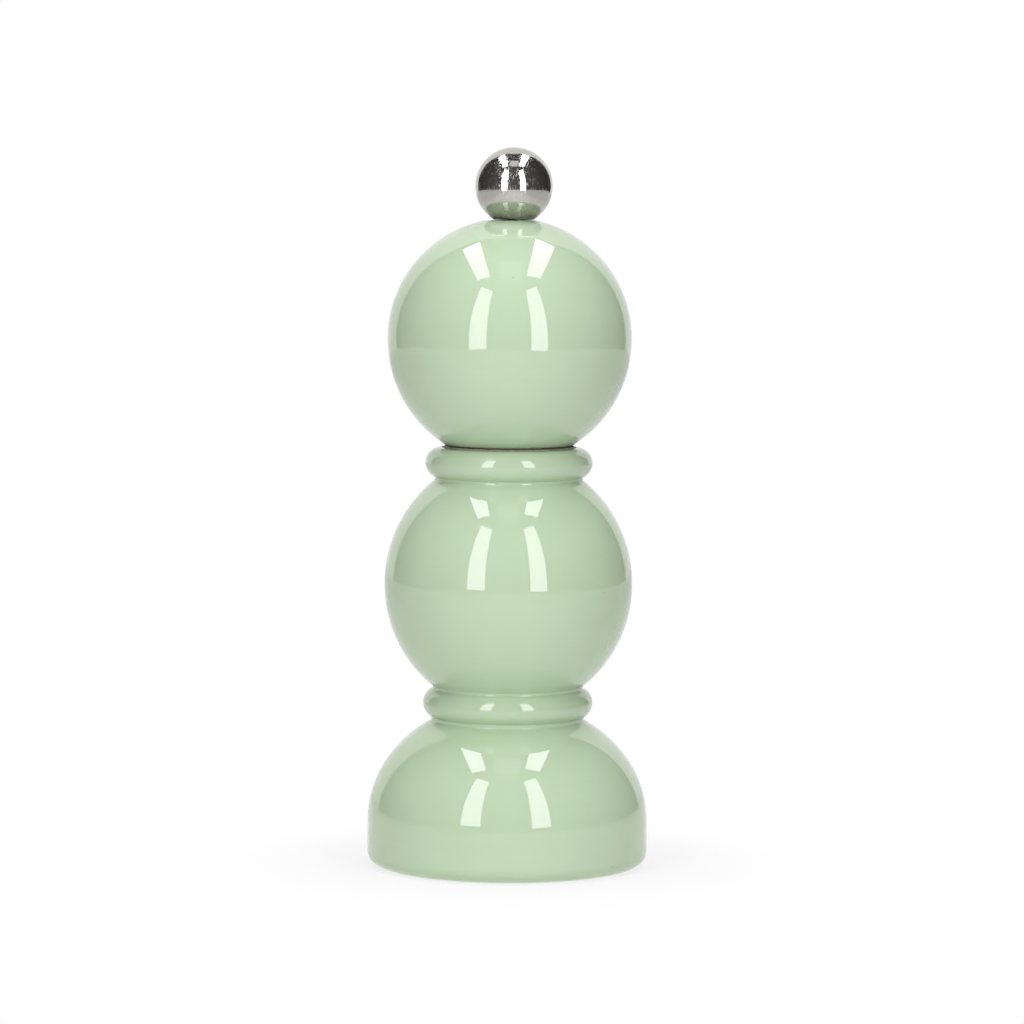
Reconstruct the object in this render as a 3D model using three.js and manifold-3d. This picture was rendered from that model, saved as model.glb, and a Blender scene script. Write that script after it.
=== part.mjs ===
// A bobbin-turned pepper mill: a lacquered wooden body and head, a polished ball knob, and the
// ceramic grinding mechanism inside. Millimetres, +Z up, origin at the centre of the base's underside.
//
// The head turns the square spindle through the drive plate under its spigot, and the spindle turns the
// burr rotor inside the fixed stator ring. A spring presses the rotor down, and the knob, screwed on the
// spindle's threaded end, draws it up for a finer grind. With the knob off, the head lifts for filling.

import * as THREE from "three";
import { mergeVertices } from "three/addons/utils/BufferGeometryUtils.js";
import Module from "manifold-3d";

const wasm = await Module();
wasm.setup();

// ---------------------------------------------------------------- driving dimensions

// Clearances between neighbouring pieces
const FIT_GAP = 0.3; // radial gap of a piece pushed into a bore or pocket
const RUNNING_GAP = 0.4; // radial gap of a piece that turns or slides in another
const THRUST_GAP = 0.15; // gap between flat faces that turn on each other
const SCREW_GAP = 0.2; // radial gap of a screw in its hole

// Foot and dome of the body
const BASE_RADIUS = 39.1;
const BASE_EDGE_WIDTH = 5.5;
const BASE_EDGE_HEIGHT = 5;
const BASE_WALL_TOP = 12.6;
const DOME_SEMI_HEIGHT = 33.4;
const DOME_NECK_RADIUS = 21.4;

// Lower collar, a round bead between two short necks
const LOWER_COLLAR_RADIUS = 23.7;
const LOWER_BEAD_DEPTH = 4.3;
const LOWER_BEAD_HALF_HEIGHT = 4.35;
const LOWER_NECK_HEIGHT = 1.1;

// Globe of the body
const GLOBE_RADIUS = 34.55;
const GLOBE_LOWER_SEMI_HEIGHT = 35.8;
const GLOBE_UPPER_SEMI_HEIGHT = 36.3;
const GLOBE_BOTTOM_NECK_RADIUS = 21.05;
const GLOBE_TOP_NECK_RADIUS = 20.65;
const GLOBE_NECK_HEIGHT = 0.75;

// Upper collar, whose top is the rim of the body
const UPPER_COLLAR_RADIUS = 23.3;
const UPPER_BEAD_DEPTH = 4.5;
const UPPER_BEAD_HALF_HEIGHT = 4.6;

// Bores of the body
const CHAMBER_RADIUS = 13.5;
const FOOT_RECESS_RADIUS = 26;
const FOOT_RECESS_DEPTH = 11;
const MECHANISM_BORE_RADIUS = 18;

// Head
const HEAD_SEAT_GAP = 0.3;
const HEAD_EDGE_ROUND = 0.5;
const HEAD_EDGE_RISE = 0.2;
const HEAD_BOTTOM_RADIUS = 18.2;
const HEAD_RADIUS = 33.95;
const HEAD_LOWER_SEMI_HEIGHT = 34.7;
const HEAD_UPPER_SEMI_HEIGHT = 33.6;
const HEAD_TOP_RADIUS = 7.9;
const SPIGOT_LENGTH = 16;
const SPIGOT_CHAMFER = 1;

// Knob, a ball with a flat and a tapped blind hole
const KNOB_RADIUS = 10.78;
const KNOB_FLAT_RADIUS = 5.5;
const KNOB_GAP = 0.3;
const KNOB_HOLE_DEPTH = 12.5;
const KNOB_WASHER_RADIUS = 5;
const KNOB_WASHER_THICKNESS = 0.8;

// Spindle: a square bar with a threaded top end and a round pivot below
const SPINDLE_ACROSS_FLATS = 6;
const THREAD_RADIUS = 2.5;
const THREAD_LENGTH = 23;
const THREAD_IN_KNOB = 9.2;
const THREAD_CHAMFER = 0.6;
const PIVOT_RADIUS = 2.4;
const PIVOT_BELOW_BRIDGE = 1.8;
const CLIP_GROOVE_RADIUS = 1.8;

// Top bush in the head, and the drive plate under the spigot
const BUSH_WALL = 1.2;
const BUSH_LENGTH = 8.6;
const BUSH_FLANGE_RADIUS = 5;
const BUSH_FLANGE_THICKNESS = 0.9;
const DRIVE_PLATE_RADIUS = 11.6;
const DRIVE_PLATE_THICKNESS = 1.5;
const PLATE_SCREW_CIRCLE = 8.2;
const PLATE_SCREW_HEAD_RADIUS = 2.3;
const PLATE_SCREW_SHANK_RADIUS = 1.2;
const PLATE_SCREW_LENGTH = 9;
const PLATE_SCREW_SLOT_REACH = 3;

// Mechanism housing
const FLANGE_RADIUS = 24.4;
const FLANGE_THICKNESS = 2.4;
const HOUSING_WALL = 2.2;
const HOUSING_LENGTH = 27;
const STATOR_SHOULDER = 1.7;
const FUNNEL_LIP = 1;
const SPIDER_ARMS = 3;
const SPIDER_ARM_WIDTH = 3;
const SPIDER_HEIGHT = 3;
const SPIDER_DROP = 0.5;
const HUB_WALL = 2.6;

// Grinding burrs
const STATOR_HEIGHT = 12;
const STATOR_WALL = 3;
const STATOR_TEETH = 20;
const STATOR_TOOTH_DEPTH = 0.9;
const GRIND_ZONE_HEIGHT = 6.4;
const GRIND_SLOPE = 0.25; // radius lost per millimetre of height in the grinding zone
const MOUTH_SLOPE = 0.5; // radius gained per millimetre of height above the throat
const COARSE_GAP = 0.7;
const ROTOR_TEETH = 16;
const ROTOR_TOOTH_DEPTH = 0.9;
const ROTOR_RECESS = 0.6;
const ROTOR_HEIGHT = 10.8;
const ROTOR_TOP_WALL = 1.4;

// Rotor core, feed cap and the spring above them
const CORE_WALL = 1.9; // from the spindle's corner to the flats of the hexagon
const CORE_FLANGE_LIP = 1.6;
const CORE_FLANGE_THICKNESS = 2;
const CORE_INSET = 0.2;
const CORE_RECESS_RADIUS = 4.9;
const CORE_RECESS_DEPTH = 4.6;
const CORE_ABOVE_RING = 2.5;
const FEED_CAP_HEIGHT = 4;
const FEED_CAP_TOP_RADIUS = 6.5;
const FEED_CAP_BOTTOM_RADIUS = 8.5;
const FEED_VANES = 3;
const FEED_VANE_REACH = 2.4;
const FEED_VANE_ROOT = 0.5; // how deep a vane's inner edge lies within the cap
const FEED_VANE_THICKNESS = 1.8;
const FEED_VANE_HEIGHT = 2.6;
const SPRING_WIRE_RADIUS = 0.4;
const SPRING_TURNS = 4.5;
const SPRING_WASHER_THICKNESS = 0.8;
const SPRING_WASHER_LIP = 0.6;
const ROTOR_WASHER_THICKNESS = 0.8;
const ROTOR_WASHER_INSET = 0.4; // radially inside the recess of the core
const CLIP_THICKNESS = 0.8;
const CLIP_WIDTH = 1.7;
const CLIP_MOUTH = 2;

// Retaining bridge and the screws that hold it and the flange
const BRIDGE_THICKNESS = 1.2;
const BRIDGE_WIDTH = 7.5;
const BRIDGE_EYE_RADIUS = 5.8;
const FLANGE_SCREW_CIRCLE = 20.8;
const FLANGE_SCREW_HEAD_RADIUS = 3;
const FLANGE_SCREW_HEAD_HEIGHT = 1.8;
const FLANGE_SCREW_SHANK_RADIUS = 1.4;
const FLANGE_SCREW_LENGTH = 14;
const FLANGE_SCREW_CROWN_RADIUS = 2.1;
const FLANGE_SCREW_SLOT_REACH = 3.6;
const SCREW_POINT_LENGTH = 2.5;
const CROSS_SLOT_WIDTH = 0.7;
const CROSS_SLOT_DEPTH = 0.9;

// Facets round a full turn
const TURNING_FACETS = 40;
const MECHANISM_FACETS = 40;
const SMALL_FACETS = 20;
const SCREW_FACETS = 12;

// ---------------------------------------------------------------- levels and radii that follow

// Height of an ellipse quadrant over the stretch from its full radius in to a smaller one.
function rise(semiHeight, fullRadius, cutRadius) {
  return semiHeight * Math.sqrt(1 - (cutRadius / fullRadius) ** 2);
}

// Angle at which a bead, measured from its widest point, has come in to a neck radius.
function beadAngle(collarRadius, depth, neckRadius) {
  return Math.acos((neckRadius - collarRadius + depth) / depth);
}

const domeTop = BASE_WALL_TOP + rise(DOME_SEMI_HEIGHT, BASE_RADIUS, DOME_NECK_RADIUS);
const lowerBeadFrom = beadAngle(LOWER_COLLAR_RADIUS, LOWER_BEAD_DEPTH, DOME_NECK_RADIUS);
const lowerBeadTo = beadAngle(LOWER_COLLAR_RADIUS, LOWER_BEAD_DEPTH, GLOBE_BOTTOM_NECK_RADIUS);
const lowerBeadCentre = domeTop + LOWER_NECK_HEIGHT + LOWER_BEAD_HALF_HEIGHT * Math.sin(lowerBeadFrom);
const globeBottom = lowerBeadCentre + LOWER_BEAD_HALF_HEIGHT * Math.sin(lowerBeadTo) + GLOBE_NECK_HEIGHT;
const globeCentre = globeBottom + rise(GLOBE_LOWER_SEMI_HEIGHT, GLOBE_RADIUS, GLOBE_BOTTOM_NECK_RADIUS);
const globeTop = globeCentre + rise(GLOBE_UPPER_SEMI_HEIGHT, GLOBE_RADIUS, GLOBE_TOP_NECK_RADIUS);
const upperBeadFrom = beadAngle(UPPER_COLLAR_RADIUS, UPPER_BEAD_DEPTH, GLOBE_TOP_NECK_RADIUS);
const upperBeadCentre = globeTop + GLOBE_NECK_HEIGHT + UPPER_BEAD_HALF_HEIGHT * Math.sin(upperBeadFrom);
const bodyTop = upperBeadCentre + UPPER_BEAD_HALF_HEIGHT;

const headBottom = bodyTop + HEAD_SEAT_GAP;
const headGlobeBottom = headBottom + HEAD_EDGE_RISE;
const headCentre = headGlobeBottom + rise(HEAD_LOWER_SEMI_HEIGHT, HEAD_RADIUS, HEAD_BOTTOM_RADIUS);
const headTop = headCentre + rise(HEAD_UPPER_SEMI_HEIGHT, HEAD_RADIUS, HEAD_TOP_RADIUS);
const spigotRadius = CHAMBER_RADIUS - RUNNING_GAP;
const spigotBottom = headBottom - SPIGOT_LENGTH;
const drivePlateBottom = spigotBottom - DRIVE_PLATE_THICKNESS;

const knobFlat = headTop + KNOB_GAP;
const knobCentre = knobFlat + rise(KNOB_RADIUS, KNOB_RADIUS, KNOB_FLAT_RADIUS);
const knobWasherTop = knobFlat - THRUST_GAP;
const knobWasherBottom = knobWasherTop - KNOB_WASHER_THICKNESS;
const bushFlangeTop = knobWasherBottom - THRUST_GAP;
const bushSeat = bushFlangeTop - BUSH_FLANGE_THICKNESS;
const spindleTop = knobFlat + THREAD_IN_KNOB;
const threadBottom = spindleTop - THREAD_LENGTH;

const spindleCorner = SPINDLE_ACROSS_FLATS / Math.SQRT2;
const threadHoleRadius = THREAD_RADIUS + FIT_GAP;
const bushRadius = threadHoleRadius + BUSH_WALL;
const bushBottom = bushSeat - BUSH_LENGTH;
const bushBoreRadius = bushRadius + FIT_GAP;
const spindleBoreRadius = spindleCorner + RUNNING_GAP;

const flangeBottom = FOOT_RECESS_DEPTH - FLANGE_THICKNESS;
const housingTop = FOOT_RECESS_DEPTH + HOUSING_LENGTH;
const mechanismBoreTop = housingTop + FIT_GAP;
const housingRadius = MECHANISM_BORE_RADIUS - FIT_GAP;
const statorPocketRadius = housingRadius - HOUSING_WALL;
const feedRadius = statorPocketRadius - STATOR_SHOULDER;
const spiderTop = housingTop - SPIDER_DROP;
const spiderBottom = spiderTop - SPIDER_HEIGHT;
const hubBoreRadius = spindleBoreRadius;
const hubRadius = hubBoreRadius + HUB_WALL;

const statorRadius = statorPocketRadius - FIT_GAP;
const statorTop = flangeBottom + STATOR_HEIGHT;
const throatLevel = flangeBottom + GRIND_ZONE_HEIGHT;
const statorMouthBottomRadius = statorRadius - STATOR_WALL;
const grindRadiusAt = (z) => statorMouthBottomRadius - GRIND_SLOPE * (z - flangeBottom);
const throatRadius = grindRadiusAt(throatLevel);
const statorMouthTopRadius = throatRadius + MOUTH_SLOPE * (statorTop - throatLevel);

const hexInradius = spindleCorner + CORE_WALL;
const ringHexInradius = hexInradius + FIT_GAP;
const hexCorner = (inradius) => inradius / Math.cos(Math.PI / 6);
const ringBottom = flangeBottom + ROTOR_RECESS;
const ringTop = ringBottom + ROTOR_HEIGHT;
const coreBottom = ringBottom + CORE_INSET;
const coreFlangeTop = coreBottom + CORE_FLANGE_THICKNESS;
const coreFlangeRadius = hexCorner(hexInradius) + CORE_FLANGE_LIP;
const coreTop = ringTop + CORE_ABOVE_RING;
const clipRecessTop = coreBottom + CORE_RECESS_DEPTH;
const feedCapBottom = ringTop + FIT_GAP;
const feedCapTop = feedCapBottom + FEED_CAP_HEIGHT;

const springWasherTop = spiderBottom - THRUST_GAP;
const springWasherBottom = springWasherTop - SPRING_WASHER_THICKNESS;
const springRadius = spindleBoreRadius + SPRING_WIRE_RADIUS;

const bridgeBottom = flangeBottom - BRIDGE_THICKNESS;
const pivotHoleRadius = PIVOT_RADIUS + FIT_GAP;
const rotorWasherBottom = clipRecessTop - ROTOR_WASHER_THICKNESS;
const clipTop = rotorWasherBottom - THRUST_GAP;
const clipBottom = clipTop - CLIP_THICKNESS;

// ---------------------------------------------------------------- shared shapes

const point = (r, z) => new THREE.Vector2(r, z);

// Points along an ellipse, from one angle to another, counted from its +r side towards +z.
function arc(centreR, centreZ, semiR, semiZ, from, to, steps) {
  return Array.from({ length: steps + 1 }, (_, i) => {
    const angle = from + ((to - from) * i) / steps;
    return point(centreR + semiR * Math.cos(angle), centreZ + semiZ * Math.sin(angle));
  });
}

// Turns an outline of (radius, height) points round the Z axis. Outlines run up the outside and down
// the inside, and start and end on the axis or close on themselves.
function turned(outline, facets) {
  return new THREE.LatheGeometry(outline, facets).rotateX(Math.PI / 2);
}

// A turned ring or tube: its outline closes on itself.
function turnedRing(outline, facets) {
  return turned([...outline, outline[0]], facets);
}

// A plain tube or washer.
function tube(innerRadius, outerRadius, bottom, top, facets) {
  const lower = [point(innerRadius, bottom), point(outerRadius, bottom)];
  const upper = [point(outerRadius, top), point(innerRadius, top)];
  return turnedRing([...lower, ...upper], facets);
}

// A solid cylinder, used to drill holes.
function rod(radius, bottom, top, facets) {
  return turned([point(0, bottom), point(radius, bottom), point(radius, top), point(0, top)], facets);
}

// A flat outline stood up between two levels.
function prism(shape, bottom, top) {
  const options = { depth: top - bottom, bevelEnabled: false, curveSegments: MECHANISM_FACETS / 4 };
  return new THREE.ExtrudeGeometry(shape, options).translate(0, 0, bottom);
}

// A regular polygon with the given distance from its centre to its flats.
function polygon(sides, inradius) {
  const corner = inradius / Math.cos(Math.PI / sides);
  return new THREE.Shape(
    Array.from({ length: sides }, (_, i) => {
      const angle = ((2 * i + 1) * Math.PI) / sides;
      return point(corner * Math.cos(angle), corner * Math.sin(angle));
    }),
  );
}

const hexShape = (inradius) => polygon(6, inradius);

// A square hole that the spindle drives or is driven by, cut right through between two levels.
function squareHole(bottom, top) {
  return prism(polygon(4, SPINDLE_ACROSS_FLATS / 2 + FIT_GAP), bottom - 1, top + 1);
}

// Joins and cuts closed geometries.
function solid(geometry) {
  const plain = geometry.clone();
  plain.deleteAttribute("normal");
  plain.deleteAttribute("uv");
  const merged = mergeVertices(plain, 1e-4);
  return new wasm.Manifold(
    new wasm.Mesh({
      numProp: 3,
      vertProperties: merged.attributes.position.array,
      triVerts: new Uint32Array(merged.index.array),
    }),
  );
}

function geometryOf(manifold) {
  const mesh = manifold.getMesh();
  const geometry = new THREE.BufferGeometry();
  geometry.setAttribute("position", new THREE.BufferAttribute(mesh.vertProperties, 3));
  geometry.setIndex(new THREE.BufferAttribute(mesh.triVerts, 1));
  geometry.computeVertexNormals();
  return geometry;
}

const cut = (geometry, ...tools) =>
  geometryOf(tools.reduce((left, tool) => left.subtract(solid(tool)), solid(geometry)));

const join = (geometry, ...others) =>
  geometryOf(others.reduce((made, other) => made.add(solid(other)), solid(geometry)));

// Copies of a tool spaced evenly round the Z axis.
const around = (count, make, firstAngle = 0) =>
  Array.from({ length: count }, (_, i) => make().rotateZ(firstAngle + (2 * Math.PI * i) / count));

// A turned ring whose listed outline points are pushed out and in, facet by facet, into teeth.
function toothedRing(outline, toothed, teeth, depth) {
  const geometry = turnedRing(outline, 2 * teeth);
  const position = geometry.getAttribute("position");
  const perFacet = outline.length + 1;
  for (let i = 0; i < position.count; i++) {
    const along = (i % perFacet) % outline.length;
    const facet = Math.floor(i / perFacet);
    if (!toothed.includes(along) || facet % 2 === 0) continue;
    const [x, y] = [position.getX(i), position.getY(i)];
    const scale = 1 + depth / Math.hypot(x, y);
    position.setX(i, x * scale);
    position.setY(i, y * scale);
  }
  return geometry;
}

// ---------------------------------------------------------------- the wooden pieces

// Blind holes in the wood for a ring of screws driven upwards from a level.
function pilotHoles(count, circle, shankRadius, from, length, firstAngle = 0) {
  const radius = shankRadius + SCREW_GAP;
  const drill = () => rod(radius, from - 1, from + length + FIT_GAP, SCREW_FACETS).translate(circle, 0, 0);
  return around(count, drill, firstAngle);
}

// Holes through a plate for the screws of the flange.
function flangeHoles(count, bottom, top) {
  const radius = FLANGE_SCREW_SHANK_RADIUS + SCREW_GAP;
  const drill = () => rod(radius, bottom - 1, top + 1, SCREW_FACETS).translate(FLANGE_SCREW_CIRCLE, 0, 0);
  return around(count, drill);
}

// The body is one turning: foot, dome, lower collar, globe and upper collar, bored through from both ends.
function bodyGeometry() {
  const outside = [
    ...arc(
      BASE_RADIUS - BASE_EDGE_WIDTH, BASE_EDGE_HEIGHT, BASE_EDGE_WIDTH, BASE_EDGE_HEIGHT,
      -Math.PI / 2, 0, 4,
    ),
    ...arc(0, BASE_WALL_TOP, BASE_RADIUS, DOME_SEMI_HEIGHT, 0, Math.acos(DOME_NECK_RADIUS / BASE_RADIUS), 8),
    ...arc(
      LOWER_COLLAR_RADIUS - LOWER_BEAD_DEPTH, lowerBeadCentre, LOWER_BEAD_DEPTH, LOWER_BEAD_HALF_HEIGHT,
      -lowerBeadFrom, lowerBeadTo, 6,
    ),
    ...arc(
      0, globeCentre, GLOBE_RADIUS, GLOBE_LOWER_SEMI_HEIGHT,
      -Math.acos(GLOBE_BOTTOM_NECK_RADIUS / GLOBE_RADIUS), 0, 7,
    ),
    ...arc(
      0, globeCentre, GLOBE_RADIUS, GLOBE_UPPER_SEMI_HEIGHT,
      0, Math.acos(GLOBE_TOP_NECK_RADIUS / GLOBE_RADIUS), 7,
    ).slice(1),
    ...arc(
      UPPER_COLLAR_RADIUS - UPPER_BEAD_DEPTH, upperBeadCentre, UPPER_BEAD_DEPTH, UPPER_BEAD_HALF_HEIGHT,
      -upperBeadFrom, Math.PI / 2, 7,
    ),
  ];
  const inside = [
    point(CHAMBER_RADIUS, bodyTop),
    point(CHAMBER_RADIUS, mechanismBoreTop),
    point(MECHANISM_BORE_RADIUS, mechanismBoreTop),
    point(MECHANISM_BORE_RADIUS, FOOT_RECESS_DEPTH),
    point(FOOT_RECESS_RADIUS, FOOT_RECESS_DEPTH),
    point(FOOT_RECESS_RADIUS, 0),
  ];
  const drill = (seat, firstAngle) =>
    pilotHoles(2, FLANGE_SCREW_CIRCLE, FLANGE_SCREW_SHANK_RADIUS, seat, FLANGE_SCREW_LENGTH, firstAngle);
  const screwHoles = [...drill(bridgeBottom, 0), ...drill(flangeBottom, Math.PI / 2)];
  return cut(turnedRing([...outside, ...inside], TURNING_FACETS), ...screwHoles);
}

// The head is a globe with a spigot that turns in the body's neck, and a bore for the spindle and its bush.
function headGeometry() {
  const outline = [
    point(spindleBoreRadius, spigotBottom),
    point(spigotRadius - SPIGOT_CHAMFER, spigotBottom),
    point(spigotRadius, spigotBottom + SPIGOT_CHAMFER),
    point(spigotRadius, headBottom),
    point(HEAD_BOTTOM_RADIUS - HEAD_EDGE_ROUND, headBottom),
    ...arc(
      0, headCentre, HEAD_RADIUS, HEAD_LOWER_SEMI_HEIGHT,
      -Math.acos(HEAD_BOTTOM_RADIUS / HEAD_RADIUS), 0, 8,
    ),
    ...arc(
      0, headCentre, HEAD_RADIUS, HEAD_UPPER_SEMI_HEIGHT,
      0, Math.acos(HEAD_TOP_RADIUS / HEAD_RADIUS), 10,
    ).slice(1),
    point(BUSH_FLANGE_RADIUS + FIT_GAP, headTop),
    point(BUSH_FLANGE_RADIUS + FIT_GAP, bushSeat),
    point(bushBoreRadius, bushSeat),
    point(bushBoreRadius, bushBottom),
    point(spindleBoreRadius, bushBottom),
  ];
  const screwHoles = pilotHoles(
    2, PLATE_SCREW_CIRCLE, PLATE_SCREW_SHANK_RADIUS, drivePlateBottom, PLATE_SCREW_LENGTH,
  );
  return cut(turnedRing(outline, TURNING_FACETS), ...screwHoles);
}

// ---------------------------------------------------------------- the knob and what lies under it

// The ball has a flat below and a blind tapped hole up from it.
function knobGeometry() {
  const flatAngle = -Math.acos(KNOB_FLAT_RADIUS / KNOB_RADIUS);
  const outline = [
    point(0, knobFlat + KNOB_HOLE_DEPTH),
    point(threadHoleRadius, knobFlat + KNOB_HOLE_DEPTH - threadHoleRadius / 2),
    point(threadHoleRadius, knobFlat),
    ...arc(0, knobCentre, KNOB_RADIUS, KNOB_RADIUS, flatAngle, 0, 5),
    ...arc(0, knobCentre, KNOB_RADIUS, KNOB_RADIUS, 0, Math.PI / 2, 7).slice(1, -1),
    point(0, knobCentre + KNOB_RADIUS),
  ];
  return turned(outline, SMALL_FACETS + 8);
}

function knobWasherGeometry() {
  return tube(threadHoleRadius, KNOB_WASHER_RADIUS, knobWasherBottom, knobWasherTop, SMALL_FACETS);
}

// The flanged bush guides the threaded end at the top of the head.
function topBushGeometry() {
  const outline = [
    point(threadHoleRadius, bushBottom),
    point(bushRadius, bushBottom),
    point(bushRadius, bushSeat),
    point(BUSH_FLANGE_RADIUS, bushSeat),
    point(BUSH_FLANGE_RADIUS, bushFlangeTop),
    point(threadHoleRadius, bushFlangeTop),
  ];
  return turnedRing(outline, SMALL_FACETS);
}

// ---------------------------------------------------------------- the drive plate and its screws

function countersink() {
  const wide = PLATE_SCREW_HEAD_RADIUS + SCREW_GAP;
  const narrow = PLATE_SCREW_SHANK_RADIUS + SCREW_GAP;
  const outline = [
    point(0, drivePlateBottom - 1),
    point(wide, drivePlateBottom - 1),
    point(wide, drivePlateBottom),
    point(narrow, drivePlateBottom + wide - narrow),
    point(narrow, spigotBottom + 1),
    point(0, spigotBottom + 1),
  ];
  return turned(outline, SCREW_FACETS).translate(PLATE_SCREW_CIRCLE, 0, 0);
}

// A steel disc whose square hole drives the spindle.
function drivePlateGeometry() {
  const disc = rod(DRIVE_PLATE_RADIUS, drivePlateBottom, spigotBottom, MECHANISM_FACETS);
  return cut(disc, squareHole(drivePlateBottom, spigotBottom), ...around(2, countersink));
}

// Two crossed slots in the lower face of a screw head.
function crossSlot(reach, headBottom) {
  const slot = new THREE.BoxGeometry(reach, CROSS_SLOT_WIDTH, 2 * CROSS_SLOT_DEPTH);
  slot.translate(0, 0, headBottom);
  return [slot, slot.clone().rotateZ(Math.PI / 2)];
}

function plateScrewGeometry() {
  const top = drivePlateBottom + PLATE_SCREW_LENGTH;
  const headDepth = PLATE_SCREW_HEAD_RADIUS - PLATE_SCREW_SHANK_RADIUS;
  const outline = [
    point(0, drivePlateBottom),
    point(PLATE_SCREW_HEAD_RADIUS, drivePlateBottom),
    point(PLATE_SCREW_SHANK_RADIUS, drivePlateBottom + headDepth),
    point(PLATE_SCREW_SHANK_RADIUS, top - SCREW_POINT_LENGTH),
    point(0, top),
  ];
  return cut(turned(outline, SCREW_FACETS), ...crossSlot(PLATE_SCREW_SLOT_REACH, drivePlateBottom));
}

// ---------------------------------------------------------------- the spindle

function spindleGeometry() {
  const pivotBottom = bridgeBottom - PIVOT_BELOW_BRIDGE;
  const squareBottom = clipRecessTop + THRUST_GAP;
  const pivotOutline = [
    point(0, pivotBottom),
    point(PIVOT_RADIUS, pivotBottom),
    point(PIVOT_RADIUS, clipBottom - THRUST_GAP),
    point(CLIP_GROOVE_RADIUS, clipBottom - THRUST_GAP),
    point(CLIP_GROOVE_RADIUS, clipTop + THRUST_GAP / 2),
    point(PIVOT_RADIUS, clipTop + THRUST_GAP / 2),
    point(PIVOT_RADIUS, squareBottom + 1),
    point(0, squareBottom + 1),
  ];
  const threadOutline = [
    point(0, threadBottom - 1),
    point(THREAD_RADIUS, threadBottom - 1),
    point(THREAD_RADIUS, spindleTop - THREAD_CHAMFER),
    point(THREAD_RADIUS - THREAD_CHAMFER, spindleTop),
    point(0, spindleTop),
  ];
  const bar = prism(polygon(4, SPINDLE_ACROSS_FLATS / 2), squareBottom, threadBottom);
  return join(bar, turned(pivotOutline, SMALL_FACETS), turned(threadOutline, SMALL_FACETS));
}

// ---------------------------------------------------------------- the housing and its stator ring

function spiderArm() {
  const length = feedRadius + STATOR_SHOULDER / 2 - hubBoreRadius - HUB_WALL / 2;
  const arm = new THREE.BoxGeometry(length, SPIDER_ARM_WIDTH, SPIDER_HEIGHT);
  return arm.translate(hubBoreRadius + HUB_WALL / 2 + length / 2, 0, spiderTop - SPIDER_HEIGHT / 2);
}

// The moulded housing: a flanged sleeve with a pocket for the stator below and a three-armed guide above.
function housingGeometry() {
  const outline = [
    point(statorPocketRadius, flangeBottom),
    point(FLANGE_RADIUS, flangeBottom),
    point(FLANGE_RADIUS, FOOT_RECESS_DEPTH),
    point(housingRadius, FOOT_RECESS_DEPTH),
    point(housingRadius, housingTop),
    point(feedRadius + FUNNEL_LIP, housingTop),
    point(feedRadius, housingTop - 2 * FUNNEL_LIP),
    point(feedRadius, statorTop),
    point(statorPocketRadius, statorTop),
  ];
  const hub = tube(hubBoreRadius, hubRadius, spiderBottom, spiderTop, SMALL_FACETS);
  const arms = around(SPIDER_ARMS, spiderArm, Math.PI / SPIDER_ARMS);
  const sleeve = join(turnedRing(outline, MECHANISM_FACETS), hub, ...arms);
  return cut(sleeve, ...flangeHoles(4, flangeBottom, FOOT_RECESS_DEPTH));
}

// The fixed burr: a ceramic ring, narrowest at its throat, with teeth down its inner wall.
function statorGeometry() {
  const outline = [
    point(statorRadius, flangeBottom),
    point(statorRadius, statorTop),
    point(statorMouthTopRadius + STATOR_TOOTH_DEPTH, statorTop),
    point(throatRadius, throatLevel),
    point(statorMouthBottomRadius, flangeBottom),
  ];
  return toothedRing(outline, [3, 4], STATOR_TEETH, STATOR_TOOTH_DEPTH);
}

// ---------------------------------------------------------------- the rotor

// The turning burr: a toothed ceramic cone on the hexagon of its core.
function rotorBurrGeometry() {
  const tip = (z) => grindRadiusAt(z) - COARSE_GAP - ROTOR_TOOTH_DEPTH;
  const topRadius = hexCorner(ringHexInradius) + ROTOR_TOP_WALL;
  const counterbore = coreFlangeRadius + FIT_GAP;
  const outline = [
    point(counterbore, ringBottom),
    point(tip(ringBottom), ringBottom),
    point(tip(throatLevel), throatLevel),
    point(topRadius, ringTop),
    point(SPINDLE_ACROSS_FLATS / 2, ringTop),
    point(SPINDLE_ACROSS_FLATS / 2, coreFlangeTop),
    point(counterbore, coreFlangeTop),
  ];
  const cone = toothedRing(outline, [1, 2], ROTOR_TEETH, ROTOR_TOOTH_DEPTH);
  return cut(cone, prism(hexShape(ringHexInradius), coreFlangeTop - 1, ringTop + 1));
}

// The moulded core carries the burr on a hexagon and is driven by the square of the spindle.
function rotorCoreGeometry() {
  const flange = rod(coreFlangeRadius, coreBottom, coreFlangeTop, MECHANISM_FACETS);
  const barrel = prism(hexShape(hexInradius), coreFlangeTop - CORE_FLANGE_THICKNESS / 2, coreTop);
  const clipRecess = rod(CORE_RECESS_RADIUS, coreBottom - 1, clipRecessTop, SMALL_FACETS);
  return cut(join(flange, barrel), clipRecess, squareHole(clipRecessTop, coreTop));
}

function feedVane() {
  const outline = new THREE.Shape([
    point(FEED_CAP_TOP_RADIUS - FEED_VANE_ROOT, 0),
    point(FEED_CAP_BOTTOM_RADIUS + FEED_VANE_REACH, 0),
    point(FEED_CAP_TOP_RADIUS - FEED_VANE_ROOT, FEED_VANE_HEIGHT),
  ]);
  const vane = new THREE.ExtrudeGeometry(outline, { depth: FEED_VANE_THICKNESS, bevelEnabled: false });
  return vane.translate(0, 0, -FEED_VANE_THICKNESS / 2).rotateX(Math.PI / 2).translate(0, 0, feedCapBottom);
}

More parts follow.
